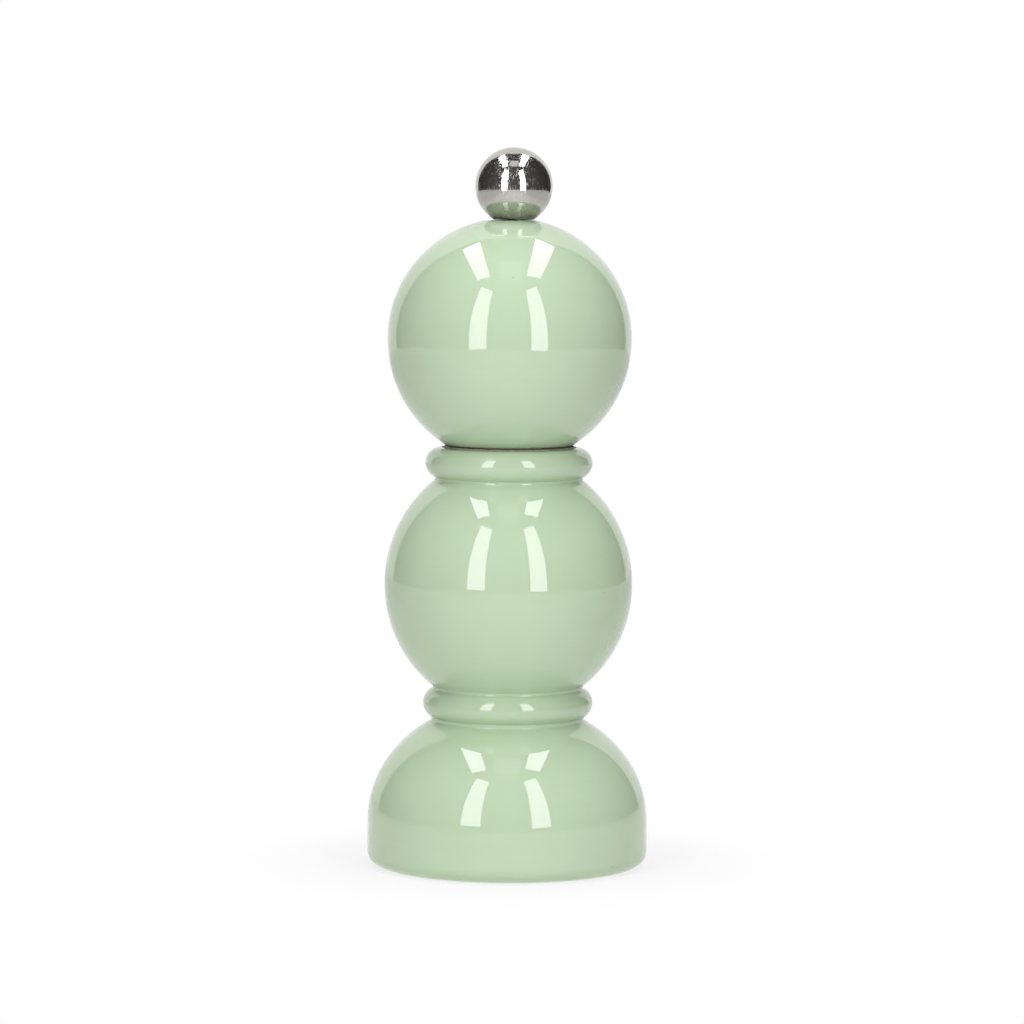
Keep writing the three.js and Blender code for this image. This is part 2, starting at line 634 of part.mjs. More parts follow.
// The feed cap closes the rotor above the burr, and its vanes push the peppercorns down.
function feedCapGeometry() {
  const hexTop = coreTop + FIT_GAP;
  const outline = [
    point(springRadius - SPRING_WIRE_RADIUS, feedCapBottom),
    point(FEED_CAP_BOTTOM_RADIUS, feedCapBottom),
    point(FEED_CAP_TOP_RADIUS, feedCapTop),
    point(springRadius - SPRING_WIRE_RADIUS, feedCapTop),
  ];
  const cap = join(turnedRing(outline, MECHANISM_FACETS), ...around(FEED_VANES, feedVane));
  return cut(cap, prism(hexShape(ringHexInradius), feedCapBottom - 1, hexTop));
}

// ---------------------------------------------------------------- the spring, washers and clip

class Helix extends THREE.Curve {
  constructor(radius, bottom, top, turns) {
    super();
    Object.assign(this, { radius, bottom, top, turns });
  }

  getPoint(t, target = new THREE.Vector3()) {
    const angle = 2 * Math.PI * this.turns * t;
    const height = this.bottom + (this.top - this.bottom) * t;
    return target.set(this.radius * Math.cos(angle), this.radius * Math.sin(angle), height);
  }
}

function springGeometry() {
  const end = SPRING_WIRE_RADIUS + THRUST_GAP;
  const path = new Helix(springRadius, feedCapTop + end, springWasherBottom - end, SPRING_TURNS);
  const options = { steps: Math.round(SPRING_TURNS * 12), bevelEnabled: false, extrudePath: path };
  return new THREE.ExtrudeGeometry(polygon(6, SPRING_WIRE_RADIUS * Math.cos(Math.PI / 6)), options);
}

function springWasherGeometry() {
  const radius = springRadius + SPRING_WIRE_RADIUS + SPRING_WASHER_LIP;
  return tube(hubBoreRadius, radius, springWasherBottom, springWasherTop, SMALL_FACETS);
}

function rotorWasherGeometry() {
  const radius = CORE_RECESS_RADIUS - ROTOR_WASHER_INSET;
  return tube(pivotHoleRadius, radius, rotorWasherBottom, clipRecessTop, SMALL_FACETS);
}

// An open spring clip in the groove of the pivot.
function clipGeometry() {
  const inner = CLIP_GROOVE_RADIUS + FIT_GAP;
  const ring = tube(inner, inner + CLIP_WIDTH, clipBottom, clipTop, SMALL_FACETS);
  const mouth = new THREE.BoxGeometry(inner + CLIP_WIDTH + 1, CLIP_MOUTH, CLIP_THICKNESS + 2);
  return cut(ring, mouth.translate((inner + CLIP_WIDTH + 1) / 2, 0, (clipBottom + clipTop) / 2));
}

// ---------------------------------------------------------------- the retaining bridge and flange screws

// A stamped strip across the outlet, with an eye for the pivot and a hole at each end.
function bridgeGeometry() {
  const strip = new THREE.Shape();
  strip.absarc(FLANGE_SCREW_CIRCLE, 0, BRIDGE_WIDTH / 2, -Math.PI / 2, Math.PI / 2);
  strip.absarc(-FLANGE_SCREW_CIRCLE, 0, BRIDGE_WIDTH / 2, Math.PI / 2, (3 * Math.PI) / 2);
  const eye = rod(BRIDGE_EYE_RADIUS, bridgeBottom, flangeBottom, SMALL_FACETS);
  const pivotHole = rod(pivotHoleRadius, bridgeBottom - 1, flangeBottom + 1, SMALL_FACETS);
  const plate = join(prism(strip, bridgeBottom, flangeBottom), eye);
  return cut(plate, pivotHole, ...flangeHoles(2, bridgeBottom, flangeBottom));
}

// A round-headed wood screw, driven upwards, whose head bears at a level.
function flangeScrewGeometry(seat) {
  const headBottom = seat - FLANGE_SCREW_HEAD_HEIGHT;
  const top = seat + FLANGE_SCREW_LENGTH;
  const outline = [
    point(0, headBottom),
    point(FLANGE_SCREW_CROWN_RADIUS, headBottom),
    point(FLANGE_SCREW_HEAD_RADIUS, headBottom + FLANGE_SCREW_HEAD_HEIGHT / 2),
    point(FLANGE_SCREW_HEAD_RADIUS, seat),
    point(FLANGE_SCREW_SHANK_RADIUS, seat),
    point(FLANGE_SCREW_SHANK_RADIUS, top - SCREW_POINT_LENGTH),
    point(0, top),
  ];
  return cut(turned(outline, SCREW_FACETS), ...crossSlot(FLANGE_SCREW_SLOT_REACH, headBottom));
}

// ---------------------------------------------------------------- materials

function finish(color, roughness, metalness) {
  return new THREE.MeshStandardMaterial({ color, roughness, metalness });
}

const greenLacquer = finish(0xbdd3b1, 0.08, 0);
const polishedChrome = finish(0xd6d7d8, 0.05, 1);
const aluminium = finish(0xc3c5c8, 0.35, 1);
const stainlessSteel = finish(0xb4b5b4, 0.28, 1);
const springSteel = finish(0x9fa1a3, 0.3, 1);
const ceramic = finish(0xeeebe2, 0.45, 0);
const blackPlastic = finish(0x1d1e1f, 0.45, 0);
const whiteNylon = finish(0xe6e4dc, 0.5, 0);

// ---------------------------------------------------------------- assembly

const mill = new THREE.Group();

function place(group, name, geometry, material, x = 0, y = 0) {
  const mesh = new THREE.Mesh(geometry, material);
  mesh.name = name;
  mesh.position.set(x, y, 0);
  group.add(mesh);
  return mesh;
}

// Lower half, which stays still on the table.
const lower = new THREE.Group();
place(lower, "body", bodyGeometry(), greenLacquer);
place(lower, "mechanism_housing", housingGeometry(), blackPlastic);
place(lower, "stator_burr", statorGeometry(), ceramic);
place(lower, "retaining_bridge", bridgeGeometry(), stainlessSteel);
[1, -1].forEach((side, i) => {
  const along = side * FLANGE_SCREW_CIRCLE;
  place(lower, `bridge_screw_${i + 1}`, flangeScrewGeometry(bridgeBottom), stainlessSteel, along);
  place(lower, `flange_screw_${i + 1}`, flangeScrewGeometry(flangeBottom), stainlessSteel, 0, along);
});
mill.add(lower);

// Spring seat, which turns with the head but never rises.
const seat = new THREE.Group();
place(seat, "spring_washer", springWasherGeometry(), stainlessSteel);
place(seat, "spring", springGeometry(), springSteel);
mill.add(seat);

// Spindle and rotor, which turn with the head and rise as the knob is tightened.
const drive = new THREE.Group();
place(drive, "spindle", spindleGeometry(), aluminium);
place(drive, "rotor_core", rotorCoreGeometry(), blackPlastic);
place(drive, "rotor_burr", rotorBurrGeometry(), ceramic);
place(drive, "feed_cap", feedCapGeometry(), blackPlastic);
place(drive, "rotor_washer", rotorWasherGeometry(), stainlessSteel);
place(drive, "retaining_clip", clipGeometry(), springSteel);
mill.add(drive);

// Head, which turns on the body and lifts off.
const head = new THREE.Group();
place(head, "head", headGeometry(), greenLacquer);
place(head, "top_bush", topBushGeometry(), whiteNylon);
place(head, "drive_plate", drivePlateGeometry(), stainlessSteel);
[1, -1].forEach((side, i) => {
  const along = side * PLATE_SCREW_CIRCLE;
  place(head, `drive_plate_screw_${i + 1}`, plateScrewGeometry(), stainlessSteel, along);
});
mill.add(head);

// Knob and the washer it turns on.
const top = new THREE.Group();
place(top, "knob_washer", knobWasherGeometry(), whiteNylon);
place(top, "knob", knobGeometry(), polishedChrome);
mill.add(top);

export default mill;
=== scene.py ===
import math

import bmesh
import bpy
from mathutils import Matrix, Vector


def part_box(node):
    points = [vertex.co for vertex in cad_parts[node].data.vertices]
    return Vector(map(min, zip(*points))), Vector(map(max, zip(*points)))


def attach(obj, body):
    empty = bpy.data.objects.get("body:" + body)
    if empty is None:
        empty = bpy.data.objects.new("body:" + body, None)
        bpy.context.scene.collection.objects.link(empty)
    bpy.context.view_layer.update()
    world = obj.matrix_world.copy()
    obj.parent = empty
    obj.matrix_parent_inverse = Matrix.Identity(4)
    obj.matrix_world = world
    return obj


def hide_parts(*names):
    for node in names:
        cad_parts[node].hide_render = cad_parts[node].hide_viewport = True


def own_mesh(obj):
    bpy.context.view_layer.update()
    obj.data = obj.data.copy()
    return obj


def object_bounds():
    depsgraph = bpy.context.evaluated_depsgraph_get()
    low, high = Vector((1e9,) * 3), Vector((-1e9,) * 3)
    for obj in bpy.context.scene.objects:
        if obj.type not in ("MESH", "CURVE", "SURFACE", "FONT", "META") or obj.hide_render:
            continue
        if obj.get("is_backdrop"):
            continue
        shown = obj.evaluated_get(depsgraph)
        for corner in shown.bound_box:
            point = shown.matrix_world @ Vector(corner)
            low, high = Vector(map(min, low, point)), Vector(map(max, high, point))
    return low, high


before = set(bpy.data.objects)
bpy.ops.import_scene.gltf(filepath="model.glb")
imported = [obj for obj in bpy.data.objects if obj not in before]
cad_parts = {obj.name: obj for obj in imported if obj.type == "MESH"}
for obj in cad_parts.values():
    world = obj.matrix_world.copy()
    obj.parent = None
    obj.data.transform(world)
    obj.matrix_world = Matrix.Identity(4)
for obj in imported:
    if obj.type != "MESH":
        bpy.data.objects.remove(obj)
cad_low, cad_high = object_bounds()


# ---- Body
# The lower three fifths of the mill are one piece of beech, turned between centres from the foot to the rim
# of the upper collar and bored from both ends. The outside is sprayed with a thick sage green gloss lacquer
# from just under the foot to the top of the collar. The rim's step, the bores and the foot ring are bare.

def levels(node):
    """Outer radius, bottom and top of a CAD node that stands on the axis, in millimetres."""
    low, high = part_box(node)
    return 1000 * max(high.x, high.y), 1000 * low.z, 1000 * high.z


def arc(centre, semi, start, end, steps):
    """Points (radius, height) along an ellipse, between two angles counted from its outer side upwards."""
    turns = [start + (end - start) * i / steps for i in range(steps + 1)]
    return [(centre[0] + semi[0] * math.cos(a), centre[1] + semi[1] * math.sin(a)) for a in turns]


def turned(*outlines, steps=192):
    """Spins outlines of (radius, height) points round the Z axis. Each outline carries on from the one before
    it and takes the next material. An eighth is spun, and copied round three times over."""
    bm = bmesh.new()
    for number, outline in enumerate(outlines):
        done = len(bm.faces)
        points = [bm.verts.new((radius, 0, height)) for radius, height in outline]
        edges = [bm.edges.new(pair) for pair in zip(points, points[1:])]
        bmesh.ops.spin(
            bm, geom=points + edges, cent=(0, 0, 0), axis=(0, 0, 1), angle=math.tau / 8, steps=steps // 8)
        bm.faces.ensure_lookup_table()
        for face in bm.faces[done:]:
            face.material_index = number
    for share in (8, 4, 2):
        copy = bmesh.ops.duplicate(bm, geom=bm.verts[:] + bm.edges[:] + bm.faces[:])["geom"]
        copied = [part for part in copy if isinstance(part, bmesh.types.BMVert)]
        bmesh.ops.rotate(bm, verts=copied, cent=(0, 0, 0), matrix=Matrix.Rotation(math.tau / share, 3, "Z"))
    bmesh.ops.remove_doubles(bm, verts=bm.verts, dist=0.0005)
    bmesh.ops.recalc_face_normals(bm, faces=bm.faces)
    return bm


def rounded(bm, width, segments=3, sharper_than=25):
    """Rounds every edge that turns by more than an angle, in degrees, and clears away any slivers."""
    limit = math.radians(sharper_than)
    sharp = [edge for edge in bm.edges if len(edge.link_faces) == 2 and edge.calc_face_angle(0) > limit]
    bmesh.ops.bevel(
        bm, geom=sharp, affect="EDGES", offset=width, offset_type="OFFSET", segments=segments, profile=0.5,
        material=-1, clamp_overlap=True,
    )
    bmesh.ops.dissolve_degenerate(bm, dist=0.0002, edges=bm.edges)
    return bm


def piece(name, bm, *finishes):
    """Makes a shape drawn in millimetres an object in metres, shaded smooth over its rounded edges."""
    bmesh.ops.scale(bm, vec=(0.001, 0.001, 0.001), verts=bm.verts)
    mesh = bpy.data.meshes.new(name)
    bm.to_mesh(mesh)
    bm.free()
    for finish in finishes:
        mesh.materials.append(finish)
    mesh.shade_smooth()
    mesh.set_sharp_from_angle(angle=math.radians(40))
    made = bpy.data.objects.new(name, mesh)
    made.modifiers.new("even_shading", "WEIGHTED_NORMAL").keep_sharp = True
    bpy.context.scene.collection.objects.link(made)
    return made


class Wire:
    """An output of a node in a material or in the world. Arithmetic on it adds Math nodes."""

    def __init__(self, tree, socket=None):
        self.tree = tree
        self.socket = socket

    def node(self, kind, settings=None, sockets=None, output=0):
        """Adds a node: its settings first, then the value or link of each socket."""
        made = self.tree.nodes.new("ShaderNode" + kind)
        for setting, value in (settings or {}).items():
            setattr(made, setting, value)
        for socket, value in (sockets or {}).items():
            if isinstance(value, Wire):
                self.tree.links.new(value.socket, made.inputs[socket])
            else:
                made.inputs[socket].default_value = value
        return Wire(self.tree, made.outputs[output] if made.outputs else None)

    def maths(self, operation, *values):
        """Adds a Math node."""
        return self.node("Math", {"operation": operation}, dict(enumerate(values)))

    def within(self, low, high):
        """0 below one value, 1 above the other, and a smooth rise between."""
        return self.node("MapRange", {"interpolation_type": "SMOOTHSTEP"},
                         {"Value": self, "From Min": low, "From Max": high})

    def mix(self, low, high):
        """A colour between two, by this wire."""
        return self.node("Mix", {"data_type": "RGBA"}, {0: self, 6: low, 7: high}, output=2)

    def __add__(self, other):
        return self.maths("ADD", self, other)

    def __sub__(self, other):
        return self.maths("SUBTRACT", self, other)

    def __rsub__(self, other):
        return self.maths("SUBTRACT", other, self)

    def __mul__(self, other):
        return self.maths("MULTIPLY", self, other)

    def __abs__(self):
        return self.maths("ABSOLUTE", self)

    __radd__ = __add__
    __rmul__ = __mul__


def screen(red, green, blue):
    """A colour given as it looks on a screen, 0 to 255, as linear red, green, blue and alpha."""
    shares = [c / 255 for c in (red, green, blue)]
    return (*(((c + 0.055) / 1.055) ** 2.4 if c > 0.04 else c / 12.92 for c in shares), 1)


def finish(name):
    """An empty material, and a wire to start its nodes from."""
    made = bpy.data.materials.new(name)
    made.use_nodes = True
    made.node_tree.nodes.clear()
    return made, Wire(made.node_tree)


def noise(start, scale, stretch=(1, 1, 1), detail=2.0, turn=(0, 0, 0)):
    """Noise fixed to the piece, with so many lumps a metre, drawn out by a stretch along each axis."""
    place = start.node("TexCoord", output="Object")
    scales = [scale / length for length in stretch]
    place = start.node("Mapping", {}, {"Vector": place, "Scale": scales, "Rotation": turn})
    return start.node("TexNoise", {}, {"Vector": place, "Scale": 1.0, "Detail": detail})


def coat(start, sockets, height, distance):
    """Ends a material with the Principled shader over a bump, as deep as the distance in metres."""
    sockets["Normal"] = start.node("Bump", {}, {"Height": height, "Distance": distance})
    shader = start.node("BsdfPrincipled", {}, sockets)
    start.node("OutputMaterial", {}, {"Surface": shader})


# Lacquer: faint rings left by the spinning work, a little colour drift, a speck of dust here and there, and
# the slight unevenness of a sprayed coat.
green_lacquer, start = finish("green_lacquer")
drift = noise(start, 28, (1, 1, 1.6))
rings = noise(start, 900, (40, 40, 1), detail=3)
place = start.node("TexCoord", output="Object")
dust = start.node("TexVoronoi", {}, {"Vector": place, "Scale": 95.0}, output="Distance")
speck = 1 - dust.within(0.012, 0.026)
tone = (0.1 + 0.5 * drift + 0.3 * rings).mix(screen(180, 204, 159), screen(187, 208, 179))
coat(start, {
    "Base Color": (0.55 * speck).mix(tone, screen(92, 112, 78)),
    "Roughness": 0.012 + 0.02 * rings,
    "IOR": 1.56,
}, height=noise(start, 75, detail=1) + 0.6 * noise(start, 280, (60, 60, 1), detail=1), distance=0.000024)

# Bare beech: growth rings round a heart that lies outside the blank, and short flecks along the grain.
bare_beech, start = finish("bare_beech")
place = start.node("TexCoord", output="Object")
place = start.node("Mapping", {}, {"Vector": place, "Location": (0.055, 0.03, 0), "Scale": (1, 1, 0.05)})
ripple = start.node("TexWave", {"wave_type": "RINGS", "rings_direction": "Z", "wave_profile": "SAW"}, {
    "Vector": place, "Scale": 105.0, "Distortion": 8.0, "Detail": 3.0, "Detail Scale": 0.3}, output="Fac")
growth = ripple.within(0.3, 1.0)
fleck = noise(start, 2600, (1, 1, 9), detail=2).within(0.60, 0.70)
pore = noise(start, 5200, (1, 1, 14)).within(0.62, 0.72)
streak = noise(start, 480, (1, 1, 12), detail=3)
timber = (0.45 * growth + 0.25 * noise(start, 160) + 0.35 * streak).mix(
    screen(212, 180, 144), screen(180, 141, 106))
timber = (0.5 * fleck).mix(timber, screen(146, 104, 74))
coat(start, {
    "Base Color": (0.35 * pore).mix(timber, screen(118, 84, 60)),
    "Roughness": 0.62 + 0.1 * growth,
}, height=noise(start, 2400, (1, 1, 8)) - 0.6 * pore, distance=0.00006)

# The narrow bevels at the joint are bare wood, painted a dark blotchy grey as painted shade for the gap where
# head and collar meet.
joint_painted_shade, start = finish("joint_painted_shade")
blotch = noise(start, 900, (1, 1, 0.4), detail=3)
coat(start, {
    "Base Color": blotch.within(0.35, 0.65).mix(screen(128, 130, 110), screen(160, 158, 136)),
    "Roughness": 0.45 + 0.2 * blotch,
}, height=blotch, distance=0.00004)

# The swellings of the outline are ellipses. A pair of sizes is half an axis across and half an axis up. The
# globe's heights and necks are given for its lower and its upper half.
foot_radius, foot_level, rim_level = levels("body")
foot_edge = (4.2, 4.0)
foot_wall_top = 12.6
dome_height, dome_neck = 33.4, 21.4
lower_bead, lower_bead_radius, lower_neck = (4.3, 4.35), 23.7, 1.1
globe_radius, globe_heights, globe_necks, globe_neck_height = 34.55, (35.8, 36.3), (21.05, 20.65), 0.75
upper_bead, upper_bead_radius, upper_bead_top = (4.5, 4.6), 23.3, 4.2
rim_step_radius, rim_bevel, rim_band, rim_fall = 18.0, 0.3, 2.5, 0.01
foot_recess, foot_recess_depth, recess_chamfer = 26.0, 11.0, 0.6
mechanism_bore, mechanism_bore_top = 18.0, 38.3
chamber_radius, chamber_chamfer = 13.5, 0.4


def bead_angle(collar_radius, bead, neck):
    """How far round a bead, from its widest point, its outline meets a neck."""
    return math.acos((neck - collar_radius + bead[0]) / bead[0])


dome_angle = math.acos(dome_neck / foot_radius)
lower_from = bead_angle(lower_bead_radius, lower_bead, dome_neck)
lower_to = bead_angle(lower_bead_radius, lower_bead, globe_necks[0])
upper_from = bead_angle(upper_bead_radius, upper_bead, globe_necks[1])
dome_top = foot_wall_top + dome_height * math.sin(dome_angle)
lower_bead_level = dome_top + lower_neck + lower_bead[1] * math.sin(lower_from)
globe_bottom_angle = math.acos(globe_necks[0] / globe_radius)
globe_top_angle = math.acos(globe_necks[1] / globe_radius)
globe_bottom = lower_bead_level + lower_bead[1] * math.sin(lower_to) + globe_neck_height
globe_level = globe_bottom + globe_heights[0] * math.sin(globe_bottom_angle)
upper_bead_level = rim_level - upper_bead[1]
upper_bead_centre = upper_bead_radius - upper_bead[0]

lacquered = (
    arc((foot_radius - foot_edge[0], foot_level + foot_edge[1]), foot_edge, -math.pi / 2, 0, steps=14)
    + arc((0, foot_wall_top), (foot_radius, dome_height), 0, dome_angle, steps=50)
    + arc((lower_bead_radius - lower_bead[0], lower_bead_level), lower_bead, -lower_from, lower_to, steps=28)
    + arc((0, globe_level), (globe_radius, globe_heights[0]), -globe_bottom_angle, 0, steps=48)[:-1]
    + arc((0, globe_level), (globe_radius, globe_heights[1]), 0, globe_top_angle, steps=48)
    + arc((upper_bead_centre, upper_bead_level), upper_bead, -upper_from, 0, steps=17)[:-1]
    + arc((upper_bead_centre, upper_bead_level), (upper_bead[0], upper_bead_top), 0, math.pi / 2, steps=17)
)
rim_step = [
    lacquered[-1],
    (rim_step_radius + rim_bevel, lacquered[-1][1]),
    (rim_step_radius, rim_level),
    (rim_step_radius - rim_band, rim_level - rim_fall),
]
bored = [
    rim_step[-1],
    (chamber_radius + chamber_chamfer, rim_level - 2 * rim_fall),
    (chamber_radius, rim_level - chamber_chamfer),
    (chamber_radius, mechanism_bore_top),
    (mechanism_bore, mechanism_bore_top),
    (mechanism_bore, foot_recess_depth),
    (foot_recess, foot_recess_depth),
    (foot_recess, foot_level + recess_chamfer),
    (foot_recess + recess_chamfer, foot_level),
    lacquered[0],
]
body_shape = rounded(turned(lacquered, rim_step, bored), width=0.2)
body = piece("body_turning", body_shape, green_lacquer, joint_painted_shade, bare_beech)
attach(body, "lower_half")
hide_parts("body")


# ---- Head
# The head is a second turning of the same wood: a globe with a small flat at its crown, and below it a plain
# spigot that turns in the neck of the body. Its lacquer stops at a fine bare bevel where it meets the collar.
head_radius, spigot_bottom, head_top = levels("head")
joint_gap, crown_rise = 0.15, 0.16
head_bottom, crown_level = rim_level + joint_gap, head_top + crown_rise
head_heights, crown_radius = (34.7, 33.6), 7.2
head_edge_radius, edge_bevel, edge_band = 18.2, 0.6, 3
spigot_radius, spigot_chamfer = 13.1, 1
spindle_width, spindle_play = 6, 0.4
spindle_bore = spindle_width / math.sqrt(2) + spindle_play
_, bush_bottom, bush_top = levels("top_bush")
bush_flange, bush_hole = 0.9, 4.3
bush_seat = bush_top - bush_flange
counterbore, counterbore_chamfer, lacquer_depth = 5.3, (0.45, 0.35), 0.8

crown_angle = math.acos(crown_radius / head_radius)
head_level = crown_level - head_heights[1] * math.sin(crown_angle)
head_edge_angle = math.acos(head_edge_radius / head_radius)
globe = (
    arc((0, head_level), (head_radius, head_heights[0]), -head_edge_angle, 0, steps=48)[:-1]
    + arc((0, head_level), (head_radius, head_heights[1]), 0, crown_angle, steps=56)
    + [
        (counterbore + counterbore_chamfer[0], crown_level),
        (counterbore, crown_level - counterbore_chamfer[1]),
        (counterbore, crown_level - lacquer_depth),
    ]
)
inside = [
    globe[-1],
    (counterbore, bush_seat),
    (bush_hole, bush_seat),
    (bush_hole, bush_bottom),
    (spindle_bore, bush_bottom),
    (spindle_bore, spigot_bottom),
    (spigot_radius - spigot_chamfer, spigot_bottom),
    (spigot_radius, spigot_bottom + spigot_chamfer),
    (spigot_radius, head_bottom),
    (head_edge_radius - edge_band, head_bottom),
]
bevel = [inside[-1], (head_edge_radius - edge_bevel, head_bottom), globe[0]]
head_shape = rounded(turned(globe, inside, bevel), width=0.15)
head = piece("head_turning", head_shape, green_lacquer, bare_beech, joint_painted_shade)
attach(head, "turning_head")
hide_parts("head")


# ---- Ball knob
# The knob is a solid brass ball, chromed and polished, with a small flat turned on its underside and a blind
# hole tapped up from the flat, a shade off centre. It screws onto the spindle and sets the grind. Fine wiping
# marks lie in its shine.
chrome, start = finish("polished_chrome")
hair = abs(noise(start, 420, (1, 1, 5), detail=3, turn=(0.25, 0.1, 0)) - 0.5)
cross_hair = abs(noise(start, 520, (5, 1, 1), detail=2, turn=(0.5, 0.3, 0.4)) - 0.52)
scratch = (1 - hair.within(0.002, 0.012)) * noise(start, 260).within(0.42, 0.62)
scratch = scratch + 0.5 * (1 - cross_hair.within(0.001, 0.007)) * noise(start, 190).within(0.5, 0.64)
patch = noise(start, 170, detail=2).within(0.28, 0.55)
fleck = noise(start, 2500, (1, 1, 3.5), detail=3).within(0.44, 0.66) * (0.6 + 0.4 * patch)
haze = noise(start, 110, (1, 1, 2), detail=3)
coat(start, {
    "Base Color": (haze + 0.25 * fleck - 0.1).mix(screen(175, 174, 169), screen(208, 207, 200)),
    "Metallic": 1.0,
    "Roughness": 0.02 + 0.03 * haze + 0.22 * scratch + 0.24 * fleck,
}, height=scratch + 0.15 * fleck + 5 * noise(start, 130, detail=1), distance=0.000006)


def joined(bm, other):
    """Adds a second shape to a first."""
    carrier = bpy.data.meshes.new("carrier")
    other.to_mesh(carrier)
    other.free()
    bm.from_mesh(carrier)
    bpy.data.meshes.remove(carrier)
    return bm


def thread(bm, wall, height, bottom, top, pitch, steps=24):
    """Adds a V thread between two levels, wound on a round wall and sunk a little into it. A thread that
    stands inwards has a negative height."""
    sunk = math.copysign(0.05, height)
    half = 0.38 * pitch
    end_gap = 0.4 * pitch
    level = bottom + end_gap
    turns = (top - bottom - 2 * end_gap) / pitch
    profile = [(wall - sunk, 0, level - half), (wall + height, 0, level), (wall - sunk, 0, level + half)]
    wound = bmesh.new()
    corners = [wound.verts.new(point) for point in profile]
    edges = [wound.edges.new((corners[i], corners[(i + 1) % 3])) for i in range(3)]
    count = round(turns * steps)
    bmesh.ops.spin(
        wound, geom=corners + edges, cent=(0, 0, 0), axis=(0, 0, 1), dvec=(0, 0, pitch / steps),
        angle=math.tau * count / steps, steps=count,
    )
    bmesh.ops.holes_fill(wound, edges=[edge for edge in wound.edges if edge.is_boundary], sides=3)
    bmesh.ops.recalc_face_normals(wound, faces=wound.faces)
    return joined(bm, wound)


ball_radius, ball_flat, ball_top = levels("knob")
ball_level = ball_top - ball_radius
flat_radius = 5.5
hole_radius, hole_depth, hole_cone, hole_chamfer = 2.8, 12.5, 1.4, 0.5
hole_top = ball_flat + hole_depth
thread_pitch = 0.8
flat_angle = -math.acos(flat_radius / ball_radius)
ball = (
    [
        (0, hole_top),
        (hole_radius, hole_top - hole_cone),
        (hole_radius, ball_flat + hole_chamfer),
        (hole_radius + hole_chamfer, ball_flat),
    ]
    + arc((0, ball_level), (ball_radius, ball_radius), flat_angle, math.pi / 2, steps=96)
)
ball = rounded(turned(ball), width=0.15)

# The hole stays on the axis, and the outside of the ball is moved off it.
ball_offset, hole_surround, hole_roof = 0.95, 4, 0.1
for point in ball.verts:
    if math.hypot(point.co.x, point.co.y) > hole_surround or point.co.z > hole_top + hole_roof:
        point.co.x += ball_offset
thread(ball, hole_radius, height=-0.18, bottom=ball_flat + 0.9, top=ball_flat + 10.4, pitch=thread_pitch)
knob = piece("ball_knob", ball, chrome)
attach(knob, "ball_knob")
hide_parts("knob")


# ---- Nylon bush and knob washer
# A flanged nylon bush is pressed into the crown of the head and guides the threaded end of the spindle. A
# thin nylon washer lies on it, so that the knob turns without marking the lacquer.
nylon, start = finish("turned_nylon")
tool_marks = noise(start, 9000, (60, 60, 1))
cloud = noise(start, 300)
coat(start, {
    "Base Color": cloud.mix(screen(226, 223, 212), screen(236, 234, 226)),
    "Roughness": 0.4 + 0.15 * tool_marks,
    "Subsurface Weight": 0.1,
    "Subsurface Radius": (0.001, 0.001, 0.0008),
}, height=tool_marks, distance=0.00001)


def ring(inner, outer, bottom, top):
    """A plain washer with rounded edges."""
    corners = [(inner, bottom), (outer, bottom), (outer, top), (inner, top), (inner, bottom)]
    return rounded(turned(corners, steps=96), width=0.12)


nylon_bore = 2.8
washer_radius, washer_bottom, washer_top = levels("knob_washer")
washer_gap = 0.25
washer_shape = ring(nylon_bore, washer_radius, washer_bottom, washer_top - washer_gap)
knob_washer = piece("knob_washer_ring", washer_shape, nylon)
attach(knob_washer, "knob_seat")
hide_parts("knob_washer")

bush_barrel_radius, bush_flange_radius = 4.0, 5.0
bush_outline = [
    (nylon_bore, bush_bottom),
    (bush_barrel_radius, bush_bottom),
    (bush_barrel_radius, bush_seat),
    (bush_flange_radius, bush_seat),
    (bush_flange_radius, bush_top),
    (nylon_bore, bush_top),
    (nylon_bore, bush_bottom),
]
top_bush = piece("flanged_bush", rounded(turned(bush_outline, steps=96), width=0.14), nylon)
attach(top_bush, "turning_head")
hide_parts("top_bush")


# ---- Spindle
# The spindle is a length of drawn square aluminium bar. Its upper end is turned down and threaded for the
# knob, and its lower end is turned to a round pivot with a groove for the clip. The die lines run along it.
aluminium, start = finish("drawn_aluminium")
die_lines = noise(start, 7000, (1, 1, 90), detail=3)
oxide = noise(start, 420, (1, 1, 3), detail=3)
coat(start, {
    "Base Color": oxide.mix(screen(180, 182, 184), screen(200, 201, 203)),
    "Metallic": 1.0,
    "Roughness": 0.28 + 0.16 * die_lines + 0.1 * oxide,
}, height=die_lines, distance=0.000012)


def reshaped(bm, rule):
    """Moves each point in or out, to the radius that a rule gives for its angle, radius and height."""
    for point in bm.verts:
        radius = math.hypot(point.co.x, point.co.y)
        if radius > 0.001:
            share = rule(math.atan2(point.co.y, point.co.x), radius, point.co.z) / radius
            point.co.x, point.co.y = point.co.x * share, point.co.y * share
    return bm


def faceted(bm, sides, inradius):
    """Makes the round wall of one radius a regular polygon that has it as its inner radius."""
    half = math.pi / sides

    def rule(angle, radius, height):
        if abs(radius - inradius) > 0.01:
            return radius
        return inradius / math.cos((angle + half) % (2 * half) - half)

    return reshaped(bm, rule)


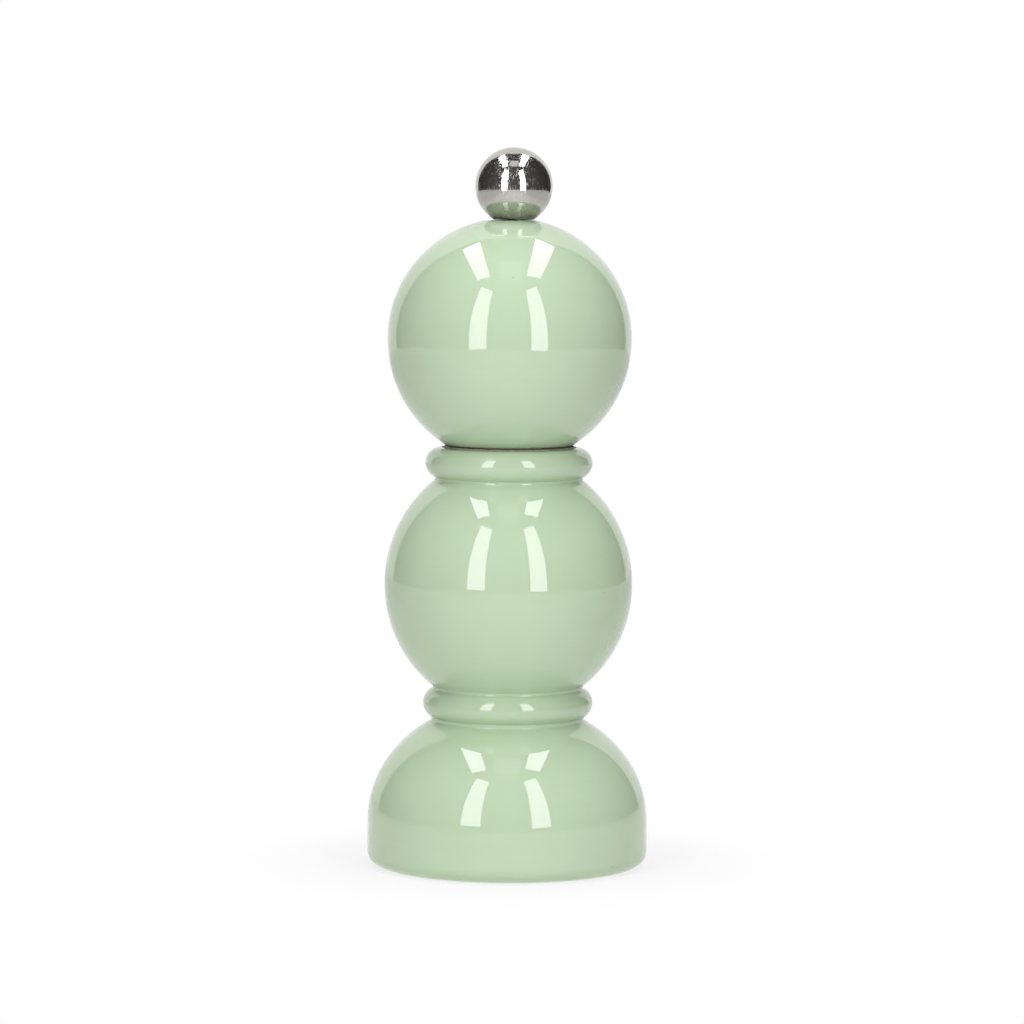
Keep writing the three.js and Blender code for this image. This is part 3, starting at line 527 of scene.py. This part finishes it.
_, spindle_bottom, spindle_top = levels("spindle")
_, clip_bottom, clip_top = levels("retaining_clip")
square_half, square_bottom = spindle_width / 2, 14.15
pivot_radius, end_chamfer = 2.4, 0.5
groove_radius, groove_bottom, groove_top = 1.8, clip_bottom - 0.15, clip_top + 0.075
thread_core, thread_bottom = 2.1, spindle_top - 23
bar = [
    (0, spindle_bottom),
    (pivot_radius - end_chamfer, spindle_bottom),
    (pivot_radius, spindle_bottom + end_chamfer),
    (pivot_radius, groove_bottom),
    (groove_radius, groove_bottom),
    (groove_radius, groove_top),
    (pivot_radius, groove_top),
    (pivot_radius, square_bottom),
    (square_half, square_bottom),
    (square_half, thread_bottom),
    (thread_core, thread_bottom),
    (thread_core, spindle_top - end_chamfer),
    (thread_core - end_chamfer, spindle_top),
    (0, spindle_top),
]
bar = rounded(faceted(turned(bar, steps=96), 4, square_half), width=0.2)
thread(
    bar, thread_core, height=0.38, bottom=thread_bottom + 0.2, top=spindle_top - 0.3, pitch=thread_pitch)
spindle = piece("square_spindle", bar, aluminium)
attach(spindle, "spindle_and_rotor")
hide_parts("spindle")


# ---- Grinding burrs
# Two burrs of white technical ceramic do the grinding: a fixed ring, narrowest at its throat, and a toothed
# cone that turns inside it. Both are pressed and fired, so their teeth are soft-edged and their skin is fine
# and matt.
ceramic, start = finish("fired_ceramic")
grain = noise(start, 5200, detail=3)
stain = noise(start, 260, detail=4).within(0.45, 0.75)
pit = noise(start, 1700, detail=2).within(0.66, 0.74)
white = stain.mix(screen(236, 233, 224), screen(226, 221, 207))
coat(start, {
    "Base Color": (0.25 * pit).mix(white, screen(196, 188, 170)),
    "Roughness": 0.42 + 0.16 * grain,
    "IOR": 1.6,
}, height=grain - 0.8 * pit, distance=0.00002)

stator_radius, burr_bottom, stator_top = levels("stator_burr")
stator_wall, grind_height, grind_taper, feed_taper = 3, 6.4, 0.25, 0.5
throat_level = burr_bottom + grind_height
mouth_radius = stator_radius - stator_wall
throat_radius = mouth_radius - grind_taper * grind_height
feed_mouth_radius = throat_radius + feed_taper * (stator_top - throat_level)
tooth_depth, gentle_side, steep_side, fade_height = 0.9, 0.72, 0.28, 1.6


def slope(start, end, steps):
    """Points (radius, height) along a straight line, from one end to the other."""
    return [
        tuple(near + (far - near) * i / steps for near, far in zip(start, end)) for i in range(steps + 1)]


def toothed(bm, teeth, lean, low, high, inner, outer):
    """Presses rounded teeth into the points between two levels and two radii. The teeth wind by a lean, in
    radians for each millimetre of height, and fade out at the upper level."""
    def rule(angle, radius, height):
        if not (low <= height <= high and inner <= radius <= outer):
            return radius
        wave = (teeth * (angle + lean * (height - low)) / math.tau) % 1
        tooth = wave / gentle_side if wave < gentle_side else (1 - wave) / steep_side
        fade = min(1, (high - height) / fade_height)
        return radius + tooth_depth * fade * tooth

    return reshaped(bm, rule)


ring_outline = (
    slope((mouth_radius, burr_bottom), (throat_radius, throat_level), steps=10)
    + slope((throat_radius, throat_level), (feed_mouth_radius, stator_top), steps=8)[1:]
    + [
        (feed_mouth_radius + tooth_depth, stator_top),
        (stator_radius, stator_top),
        (stator_radius, burr_bottom),
        (mouth_radius, burr_bottom),
    ]
)
burr_ring = toothed(
    turned(ring_outline, steps=240), teeth=20, lean=0.03, low=burr_bottom, high=stator_top,
    inner=0, outer=14.2)
stator = piece("stator_ring", rounded(burr_ring, width=0.14, segments=2, sharper_than=38), ceramic)
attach(stator, "lower_half")
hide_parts("stator_burr")

_, rotor_bottom, rotor_top = levels("rotor_burr")
core_flange_radius, core_bottom, core_top = levels("rotor_core")
core_wall, core_flange, cone_wall = 1.9, 2, 1.4
fit_gap, coarse_gap = 0.3, 0.7
hex_hole = spindle_width / math.sqrt(2) + core_wall + fit_gap
core_flange_top = core_bottom + core_flange
cone_top_radius = hex_hole / math.cos(math.pi / 6) + cone_wall


def rotor_root(height):
    """Radius at the root of the rotor's teeth in the grinding zone, one coarse gap inside the stator."""
    return mouth_radius - grind_taper * (height - burr_bottom) - coarse_gap - tooth_depth


cone_bottom, cone_throat = ((rotor_root(level), level) for level in (rotor_bottom, throat_level))
cone = (
    slope(cone_bottom, cone_throat, steps=8)
    + slope(cone_throat, (cone_top_radius, rotor_top), steps=8)[1:]
    + [
        (hex_hole, rotor_top),
        (hex_hole, core_flange_top),
        (core_flange_radius + fit_gap, core_flange_top),
        (core_flange_radius + fit_gap, rotor_bottom),
        cone_bottom,
    ]
)
burr_cone = toothed(
    faceted(turned(cone), 6, hex_hole), teeth=16, lean=-0.05, low=rotor_bottom, high=rotor_top,
    inner=cone_top_radius - 0.2, outer=12)
rotor = piece("rotor_cone", rounded(burr_cone, width=0.12, segments=2, sharper_than=38), ceramic)
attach(rotor, "spindle_and_rotor")
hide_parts("rotor_burr")


# ---- Moulded plastic: housing, rotor core and feed cap
# The housing is moulded in black glass-filled plastic: a flange screwed to the wood, a sleeve that holds the
# stator, and three arms that carry a guide for the spindle. The rotor core and the feed cap are the same
# plastic.
plastic, start = finish("moulded_black_plastic")
spark = noise(start, 4200, detail=2)
flow = noise(start, 130, (1, 1, 2), detail=3)
dusting = noise(start, 900, detail=4).within(0.58, 0.8)
dark = flow.mix(screen(30, 31, 32), screen(40, 41, 42))
coat(start, {
    "Base Color": (0.18 * dusting).mix(dark, screen(128, 118, 104)),
    "Roughness": 0.38 + 0.14 * spark + 0.12 * dusting,
}, height=spark, distance=0.00002)


def block(bm, low, high, turn):
    """Adds a plain block between two corners, turned round the Z axis."""
    size = [far - near for near, far in zip(low, high)]
    middle = [(near + far) / 2 for near, far in zip(low, high)]
    place = Matrix.Rotation(turn, 4, "Z") @ Matrix.Translation(middle) @ Matrix.Diagonal((*size, 1))
    bmesh.ops.create_cube(bm, size=1, matrix=place)


def thickened(bm, faces, along):
    """Gives flat faces a thickness along a vector, and closes them all round."""
    grown = bmesh.ops.extrude_face_region(bm, geom=faces, use_keep_orig=True)["geom"]
    moved = [part for part in grown if isinstance(part, bmesh.types.BMVert)]
    bmesh.ops.translate(bm, verts=moved, vec=along)


flange_radius, flange_bottom, housing_top = levels("mechanism_housing")
flange_top = foot_recess_depth
sleeve_radius, pocket_radius, feed_radius = 17.7, 15.5, 13.8
panel_inner, panel_outer, panel_slant = pocket_radius + 1.1, flange_radius - 1.0, 0.2
panel_level = flange_bottom + 0.35
funnel_width, funnel_height = 1, 2
sleeve = [
    (pocket_radius, flange_bottom),
    (panel_inner, flange_bottom),
    (panel_inner + panel_slant, panel_level),
    (panel_outer - panel_slant, panel_level),
    (panel_outer, flange_bottom),
    (flange_radius, flange_bottom),
    (flange_radius, flange_top),
    (sleeve_radius, flange_top),
    (sleeve_radius, housing_top),
    (feed_radius + funnel_width, housing_top),
    (feed_radius, housing_top - funnel_height),
    (feed_radius, stator_top),
    (pocket_radius, stator_top),
    (pocket_radius, flange_bottom),
]
guide_bottom, guide_top = housing_top - 3.5, housing_top - 0.5
guide_bore, guide_radius, guide_chamfer = spindle_bore, spindle_bore + 2.6, 0.4
guide = [
    (guide_bore + guide_chamfer, guide_top),
    (guide_bore, guide_top - guide_chamfer),
    (guide_bore, guide_bottom),
    (guide_radius, guide_bottom),
    (guide_radius, guide_top),
    (guide_bore + guide_chamfer, guide_top),
]
moulding = joined(turned(sleeve), turned(guide, steps=96))
arm_inner, arm_outer, arm_half, arm_top = guide_radius - 1, feed_radius + 0.8, 1.5, guide_top - 0.05
for third in range(3):
    direction = math.pi / 3 + third * math.tau / 3
    block(moulding, (arm_inner, -arm_half, guide_bottom), (arm_outer, arm_half, arm_top), direction)
housing = piece("mechanism_housing_moulding", rounded(moulding, width=0.25), plastic)
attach(housing, "lower_half")
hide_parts("mechanism_housing")

clip_recess, clip_recess_top = 4.9, core_bottom + 4.6
square_hole, hex_barrel = square_half + fit_gap, hex_hole - fit_gap
core = [
    (clip_recess, core_bottom),
    (core_flange_radius, core_bottom),
    (core_flange_radius, core_flange_top),
    (hex_barrel, core_flange_top),
    (hex_barrel, core_top),
    (square_hole, core_top),
    (square_hole, clip_recess_top),
    (clip_recess, clip_recess_top),
    (clip_recess, core_bottom),
]
core = faceted(faceted(turned(core), 6, hex_barrel), 4, square_hole)
rotor_core = piece("rotor_core_moulding", rounded(core, width=0.1), plastic)
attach(rotor_core, "spindle_and_rotor")
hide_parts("rotor_core")

_, cap_bottom, cap_top = levels("feed_cap")
cap_foot_radius, cap_top_radius, cap_bore = 8.5, 6.5, 4.65
cap_ledge = core_top + fit_gap
cap = [
    (hex_hole, cap_bottom),
    (cap_foot_radius, cap_bottom),
    (cap_top_radius, cap_top),
    (cap_bore, cap_top),
    (cap_bore, cap_ledge),
    (hex_hole, cap_ledge),
    (hex_hole, cap_bottom),
]
cap = faceted(turned(cap), 6, hex_hole)
vane_inner, vane_outer, vane_half = 6.6, 10.85, 0.9
vane_bottom, vane_top = cap_bottom + 0.01, cap_bottom + 2.6
for third in range(3):
    side = Matrix.Rotation(third * math.tau / 3, 4, "Z")
    corners = [(vane_inner, vane_bottom), (vane_outer, vane_bottom), (vane_inner, vane_top)]
    vane = cap.faces.new([cap.verts.new(side @ Vector((x, -vane_half, z))) for x, z in corners])
    thickened(cap, [vane], side @ Vector((0, 2 * vane_half, 0)))
bmesh.ops.recalc_face_normals(cap, faces=cap.faces)
feed_cap = piece("feed_cap_moulding", rounded(cap, width=0.2), plastic)
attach(feed_cap, "spindle_and_rotor")
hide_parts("feed_cap")


# ---- Spring and its seat
# A compression spring of round wire, with a closed coil at each end, presses the rotor down from a steel
# washer under the guide. In the mill it shortens as the knob draws the spindle up; here it is drawn at one
# length.
spring_steel, start = finish("spring_steel")
drawn = noise(start, 3800, detail=3)
blue = noise(start, 600).within(0.4, 0.7)
coat(start, {
    "Base Color": blue.mix(screen(150, 151, 153), screen(168, 167, 164)),
    "Metallic": 1.0,
    "Roughness": 0.22 + 0.2 * drawn,
}, height=drawn, distance=0.000006)

stainless, start = finish("stainless_steel")
brush = noise(start, 5200, (1, 14, 1), detail=3)
smear = noise(start, 210, detail=3)
coat(start, {
    "Base Color": smear.mix(screen(184, 183, 180), screen(202, 201, 198)),
    "Metallic": 1.0,
    "Roughness": 0.2 + 0.14 * brush + 0.08 * smear,
}, height=brush, distance=0.000008)

_, seat_bottom, seat_top = levels("spring_washer")
seat_bore, seat_radius = 4.7, 6.04
spring_washer = piece("spring_washer_ring", ring(seat_bore, seat_radius, seat_bottom, seat_top), stainless)
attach(spring_washer, "spring_seat")
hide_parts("spring_washer")

_, coil_bottom, coil_top = levels("spring")
wire_radius, wire_sides, coil_radius, coil_steps = 0.4, 14, 5.04, 48
closed_turns, closed_pitch, open_turns = 0.75, 0.86, 3.0
wound_height = coil_top - coil_bottom - 2 * wire_radius
open_pitch = (wound_height - 2 * closed_turns * closed_pitch) / open_turns
coil = bmesh.new()
place = Matrix.Translation((coil_radius, 0, coil_bottom + wire_radius)) @ Matrix.Rotation(math.pi / 2, 4, "X")
bmesh.ops.create_circle(coil, radius=wire_radius, segments=wire_sides, matrix=place)
last = coil.verts[:] + coil.edges[:]
for turns, pitch in ((closed_turns, closed_pitch), (open_turns, open_pitch), (closed_turns, closed_pitch)):
    last = bmesh.ops.spin(
        coil, geom=last, cent=(0, 0, 0), axis=(0, 0, 1), dvec=(0, 0, pitch / coil_steps),
        angle=math.tau * turns, steps=round(coil_steps * turns))["geom_last"]
bmesh.ops.holes_fill(coil, edges=[edge for edge in coil.edges if edge.is_boundary], sides=wire_sides)
bmesh.ops.recalc_face_normals(coil, faces=coil.faces)
spring = piece("coil_spring", coil, spring_steel)
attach(spring, "spring_seat")
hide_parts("spring")
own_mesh(spring)


# ---- Rotor washer and clip
# A steel thrust washer lies in the core of the rotor. Under it an open clip, stamped from spring steel, snaps
# into the groove of the pivot, and so the two carry the rotor on the spindle.

def stamped(outlines, bottom, top):
    """A flat plate between two levels. The first outline of (x, y) points is its edge, and any others are its
    holes."""
    bm = bmesh.new()
    for outline in outlines:
        points = [bm.verts.new((x, y, bottom)) for x, y in outline]
        for pair in zip(points, points[1:] + points[:1]):
            bm.edges.new(pair)
    bmesh.ops.triangle_fill(bm, use_beauty=True, use_dissolve=False, edges=bm.edges[:], normal=(0, 0, 1))
    thickened(bm, bm.faces[:], (0, 0, top - bottom))
    bmesh.ops.recalc_face_normals(bm, faces=bm.faces)
    return bm


def circle(radius, centre=(0, 0), start=0.0, end=math.tau, steps=64):
    """Points (x, y) round a circle, from one angle up to another."""
    turns = [start + (end - start) * i / steps for i in range(steps)]
    return [(centre[0] + radius * math.cos(a), centre[1] + radius * math.sin(a)) for a in turns]


_, rotor_washer_bottom, rotor_washer_top = levels("rotor_washer")
rotor_washer_bore, rotor_washer_radius = 2.7, 4.5
rotor_washer_shape = ring(rotor_washer_bore, rotor_washer_radius, rotor_washer_bottom, rotor_washer_top)
rotor_washer = piece("rotor_washer_ring", rotor_washer_shape, stainless)
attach(rotor_washer, "spindle_and_rotor")
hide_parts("rotor_washer")

clip_radius, clip_steps = 3.75, 60
clip_mouth = math.radians(30)
prong_angles = [math.radians(degrees) for degrees in (52, 180, 308)]
prong_radius, prong_height, prong_half, prong_flank = 2.15, 0.75, 0.3, 0.12
outer_edge = circle(clip_radius, start=clip_mouth, end=math.tau - clip_mouth, steps=clip_steps) + [
    (clip_radius * math.cos(clip_mouth), -clip_radius * math.sin(clip_mouth))]
grip = []
for i in range(clip_steps + 1):
    angle = math.tau - clip_mouth - (math.tau - 2 * clip_mouth) * i / clip_steps
    from_prong = min(abs(angle - prong_angle) for prong_angle in prong_angles)
    radius = prong_radius + prong_height * min(1, max(0, (from_prong - prong_half) / prong_flank))
    grip.append((radius * math.cos(angle), radius * math.sin(angle)))
clip = rounded(stamped([outer_edge + grip], clip_bottom, clip_top), width=0.1, segments=2, sharper_than=30)
retaining_clip = piece("retaining_clip_stamping", clip, spring_steel)
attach(retaining_clip, "spindle_and_rotor")
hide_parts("retaining_clip")


# ---- Retaining bridge
# A stamped stainless strip crosses the outlet under the burrs. Its eye steadies the pivot of the spindle, and
# a screw at each end holds it and the flange of the housing to the wood.
bridge_low, bridge_high = (1000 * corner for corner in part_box("retaining_bridge"))
strip_half = 3.75
strip_end = bridge_high.x - strip_half
eye_radius, eye_bore, screw_hole = bridge_high.y, 2.7, 1.6
meet = math.asin(strip_half / eye_radius)
quarter = math.pi / 2
edge_line = (
    circle(strip_half, (strip_end, 0), -quarter, quarter, steps=32)
    + [(strip_end, strip_half)]
    + circle(eye_radius, (0, 0), meet, math.pi - meet, steps=32)
    + [(-eye_radius * math.cos(meet), strip_half)]
    + circle(strip_half, (-strip_end, 0), quarter, 3 * quarter, steps=32)
    + [(-strip_end, -strip_half)]
    + circle(eye_radius, (0, 0), math.pi + meet, math.tau - meet, steps=32)
    + [(eye_radius * math.cos(meet), -strip_half)]
)
holes = [circle(eye_bore)] + [circle(screw_hole, (end, 0), steps=40) for end in (strip_end, -strip_end)]
plate = stamped([edge_line, *holes], bridge_low.z, bridge_high.z)
rounded(plate, width=0.16, segments=3, sharper_than=30)
bridge = piece("retaining_bridge_stamping", plate, stainless)
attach(bridge, "lower_half")
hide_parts("retaining_bridge")


# ---- Screws
# Four round-headed wood screws hold the bridge and the flange, and two countersunk ones hold the drive plate.
# All are stainless steel, cold-headed with a cross recess, and thread into blind holes in the wood.

def cross_screw(outline, shank, reach, width, depth, thread_from, thread_to):
    """A wood screw that stands on the Z axis with its head down. The outline runs from the rim of the head's
    flat face to the point, and the cross recess is sunk into that face."""
    recess_taper = 0.62
    bm = turned(outline, steps=48)
    rim = [edge for edge in bm.edges if edge.is_boundary]
    level = outline[0][1]
    cross = []
    for quarter_turn in range(4):
        place = Matrix.Rotation(quarter_turn * math.pi / 2, 4, "Z")
        corners = ((reach, -width, level), (reach, width, level), (width, width, level))
        cross += [place @ Vector(corner) for corner in corners]
    points = [bm.verts.new(corner) for corner in cross]
    recess = [bm.edges.new(pair) for pair in zip(points, points[1:] + points[:1])]
    bmesh.ops.triangle_fill(bm, use_beauty=True, use_dissolve=False, edges=rim + recess, normal=(0, 0, -1))
    sunk = bmesh.ops.extrude_edge_only(bm, edges=recess)["geom"]
    low_points = [part for part in sunk if isinstance(part, bmesh.types.BMVert)]
    low_edges = [part for part in sunk if isinstance(part, bmesh.types.BMEdge)]
    bmesh.ops.translate(bm, verts=low_points, vec=(0, 0, depth))
    bmesh.ops.scale(bm, verts=low_points, vec=(recess_taper, recess_taper, 1))
    bmesh.ops.triangle_fill(bm, use_beauty=True, use_dissolve=False, edges=low_edges, normal=(0, 0, -1))
    bmesh.ops.recalc_face_normals(bm, faces=bm.faces)
    rounded(bm, width=0.07, segments=2, sharper_than=30)
    return thread(bm, shank - 0.03, height=0.16, bottom=thread_from, top=thread_to, pitch=1.1, steps=16)


pan_dome = ((2.1, 0), (2.55, 0.22), (2.85, 0.6), (3.0, 1.1))
pan_radius, pan_height, pan_shank, pan_point = 3.0, 1.8, 1.25, 3
pan_screws = (
    ("bridge_screw_right", "bridge_screw_1", 1.6),
    ("bridge_screw_left", "bridge_screw_2", -0.6),
    ("flange_screw_back", "flange_screw_1", 1.2),
    ("flange_screw_front", "flange_screw_2", -0.2),
)
for name, node, turn in pan_screws:
    low, high = (1000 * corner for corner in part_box(node))
    seat = low.z + pan_height
    pan = [(radius, low.z + rise) for radius, rise in pan_dome] + [
        (pan_radius, seat),
        (pan_shank, seat),
        (pan_shank, high.z - pan_point),
        (0, high.z),
    ]
    shape = cross_screw(
        pan, pan_shank, reach=1.75, width=0.34, depth=0.95, thread_from=seat + 3, thread_to=seat + 11)
    bmesh.ops.rotate(shape, verts=shape.verts, cent=(0, 0, 0), matrix=Matrix.Rotation(turn, 3, "Z"))
    bmesh.ops.translate(shape, verts=shape.verts, vec=((low.x + high.x) / 2, (low.y + high.y) / 2, 0))
    screw = piece(name, shape, stainless)
    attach(screw, "lower_half")
    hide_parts(node)

sunk_head = ((2.2, 0), (2.28, 0.12), (1.05, 1.25))
sunk_shank, sunk_point = 1.05, 2.5
for name, node in (("plate_screw_right", "drive_plate_screw_1"), ("plate_screw_left", "drive_plate_screw_2")):
    low, high = (1000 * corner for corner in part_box(node))
    countersunk = [(radius, low.z + rise) for radius, rise in sunk_head] + [
        (sunk_shank, high.z - sunk_point),
        (0, high.z),
    ]
    shape = cross_screw(
        countersunk, sunk_shank, reach=1.4, width=0.28, depth=0.8, thread_from=low.z + 2.2,
        thread_to=high.z - 2.6)
    bmesh.ops.translate(shape, verts=shape.verts, vec=((low.x + high.x) / 2, (low.y + high.y) / 2, 0))
    screw = piece(name, shape, stainless)
    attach(screw, "turning_head")
    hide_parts(node)


# ---- Drive plate
# The drive plate is a disc stamped from stainless steel, held under the spigot by the two countersunk screws.
# Its square hole slides along the spindle and turns it with the head.
plate_radius, plate_bottom, plate_top = levels("drive_plate")
sink_radius, sink_taper, sink_places = 2.5, 0.56, (8.2, -8.2)
square = [(square_hole * x, square_hole * y) for x, y in ((-1, -1), (1, -1), (1, 1), (-1, 1))]
sinks = [circle(sink_radius, (place, 0), steps=40) for place in sink_places]
plate = stamped([circle(plate_radius, steps=128), square, *sinks], plate_bottom, plate_top)
upper = [point for point in plate.verts if point.co.z > plate_top - 0.01]
for place in sink_places:
    hole = [point for point in upper if abs(math.hypot(point.co.x - place, point.co.y) - sink_radius) < 0.01]
    bmesh.ops.scale(
        plate, verts=hole, vec=(sink_taper, sink_taper, 1), space=Matrix.Translation((-place, 0, 0)))
rounded(plate, width=0.12, segments=3, sharper_than=30)
drive_plate = piece("drive_plate_stamping", plate, stainless)
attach(drive_plate, "turning_head")
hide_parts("drive_plate")


# ---- Table
# The mill stands a little in front of the middle of a large round white table top. Away from the mill it is
# as white as the wall behind it to the eye, and in polish too except to the left and right, where painted
# shade greys it. Its paint darkens away from the mill, a painted falloff of light, and round the foot it
# keeps the soft shadow. It doesn't show from below, and it glows softly where the foot hides it, so that the
# underside can be seen.

def grey(value):
    """A grey as linear red, green, blue and alpha."""
    return (value, value, value, 1)


def ray_masks(start):
    """Masks of the rays that come from the camera, and of those that come off polish or through glass."""
    camera_ray, glossy_ray, glass_ray = (
        start.node("LightPath", output=f"Is {kind} Ray") for kind in ("Camera", "Glossy", "Transmission"))
    return camera_ray, glossy_ray + glass_ray


table_white, start = finish("table_white")
cloud = noise(start, 3, detail=1)
place = start.node("TexCoord", output="Object")
apart = start.node("VectorMath", {"operation": "LENGTH"}, {0: place}, output="Value")
under_foot, shadow_edge, falloff_span, side_shade_span = (0.037, 0.0395), (0.04, 0.09), (0.06, 0.36), (0.06, 0.45)
# The paint darkens from 0.86 near the mill to 0.5 far out. This is a painted falloff of light, which the
# light bouncing off the table carries to the mill. A faint cloud varies it too.
cloud_and_painted_falloff = 0.1 * cloud + 0.9 * apart.within(*falloff_span)
paint = start.node("BsdfDiffuse", {}, {"Color": cloud_and_painted_falloff.mix(grey(0.86), grey(0.50))})
camera_ray, mirrored = ray_masks(start)
# In polish the white greys to 0.74 towards the left and right: painted shade on the table.
aside = abs(start.node("SeparateXYZ", {}, {"Vector": place}, output="X")).within(*side_shade_span)
white_light = start.node(
    "Emission", {}, {"Color": (mirrored * aside).mix(grey(1), grey(0.74)), "Strength": 1.0})
glow = 0.6 * (1 - camera_ray) * (1 - apart.within(*under_foot))
# Near the foot a quarter of the paint shows through the white, with the shadow on it.
seen = (camera_ray + mirrored) * (0.74 + 0.26 * apart.within(*shadow_edge)) + glow
shown = start.node("MixShader", {}, {0: seen, 1: paint, 2: white_light})
under = start.node("NewGeometry", output="Backfacing") * camera_ray
clear = start.node("BsdfTransparent")
top = start.node("MixShader", {}, {0: under, 1: shown, 2: clear})
start.node("OutputMaterial", {}, {"Surface": top})

table_radius, table_middle, table_gap = 1350, 300, 0.05
table_shape = bmesh.new()
bmesh.ops.create_circle(table_shape, cap_ends=True, segments=128, radius=table_radius)
table_level = 1000 * cad_low.z - table_gap
bmesh.ops.translate(table_shape, verts=table_shape.verts, vec=(0, table_middle, table_level))
table = piece("table_top", table_shape, table_white)
table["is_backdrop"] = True


# ---- Room
# A dark grey room with a white paper wall behind the mill. The paper rises and leans over the top, and a pale
# panel hangs overhead in front of it. The camera sees only white, and so do polish and glass where the paper
# stands.
world = bpy.data.worlds.new("studio")
bpy.context.scene.world = world
world.use_nodes = True
world.node_tree.nodes.clear()
start = Wire(world.node_tree)
direction = start.node("TexCoord", output="Generated")
sideways, ahead, upwards = (
    start.node("SeparateXYZ", {}, {"Vector": direction}, output=axis) for axis in "XYZ")
# Each edge of the paper and of the panel is a slope between the sideways, ahead and upwards parts.
paper_top, paper_fall, paper_right, paper_left = 2.65, 1.13, 0.82, 1.05
paper = (
    (paper_top * ahead - paper_fall * abs(sideways) - upwards).within(0.0, 0.06)
    * (paper_right * ahead - sideways).within(0.0, 0.04)
    * (paper_left * ahead + sideways).within(0.0, 0.08))
panel_half, panel_back, panel_front = 0.165, 0.146, 0.575
panel = (
    (panel_half * upwards - abs(sideways)).within(0.0, 0.01)
    * (-panel_back * upwards - ahead).within(0.0, 0.01)
    * (panel_front * upwards + ahead).within(0.0, 0.01))
camera_ray, mirrored = ray_masks(start)
shade = ahead.within(-0.9, 0.4).mix((0.125, 0.123, 0.125, 1), (0.06, 0.058, 0.06, 1))
dim = start.node("Background", {}, {"Color": (paper + 0.95 * panel).mix(shade, grey(1)), "Strength": 1.0})
white_light = start.node("Background", {}, {"Color": grey(1), "Strength": 1.0})
sky = start.node("MixShader", {}, {
    0: camera_ray + mirrored * paper * (1.0 - 0.6 * upwards), 1: dim, 2: white_light})
start.node("OutputWorld", {}, {"Surface": sky})


# ---- Lamps
# Two tall soft boxes stand in front, turned in from the left and right of the camera, and two long ones hang
# overhead. Their light has a faint tint of mauve.

def soft_box(name, centre, facing, width, height, brightness):
    """A rectangular lamp that is equally bright all over: its power is brightness times area times pi."""
    lamp = bpy.data.lights.new(name, "AREA")
    lamp.shape = "RECTANGLE"
    lamp.size, lamp.size_y = width, height
    lamp.energy = brightness * width * height * math.pi
    lamp.color = (1.0, 0.965, 1.055)
    made = bpy.data.objects.new(name, lamp)
    made.location = centre
    made.rotation_euler = Vector(facing).to_track_quat("-Z", "Y").to_euler()
    made.visible_camera = False
    bpy.context.scene.collection.objects.link(made)


front_brightness, top_brightness, down = 5.9, 6.5, (0, 0, -1)
soft_box("front_box_left", (-0.3075, -0.555, 0.461), (0.69, 0.72, 0), 0.187, 0.79, front_brightness)
soft_box("front_box_right", (0.289, -0.5625, 0.463), (-0.66, 0.75, 0), 0.175, 0.815, front_brightness)
soft_box("top_box_left", (-0.446, -0.018, 1.2), down, 0.235, 0.965, top_brightness)
soft_box("top_box_right", (0.389, 0.028, 1.2), down, 0.245, 1.0, top_brightness)


# ---- Camera
# The camera stands in front of the mill, level with its top, and looks slightly down at its middle through a
# long lens. It is rolled by a third of a degree.
camera_distance, camera_aside, camera_height = 1.3, 0.0009, 0.2
aim_height, camera_roll = 0.0988, math.radians(0.32)
camera_data = bpy.data.cameras.new("camera")
camera_data.lens = 164.6
camera_data.sensor_width = 36
camera_data.clip_start, camera_data.clip_end = 0.05, 20
camera = bpy.data.objects.new("camera", camera_data)
camera.location = (camera_aside, -camera_distance, camera_height)
aim = Vector((0, camera_distance, aim_height - camera_height))
looking = aim.to_track_quat("-Z", "Y").to_matrix().to_4x4()
camera.rotation_euler = (looking @ Matrix.Rotation(camera_roll, 4, "Z")).to_euler()
bpy.context.scene.collection.objects.link(camera)
bpy.context.scene.camera = camera
bpy.context.scene.view_settings.view_transform = "Standard"

low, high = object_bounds()
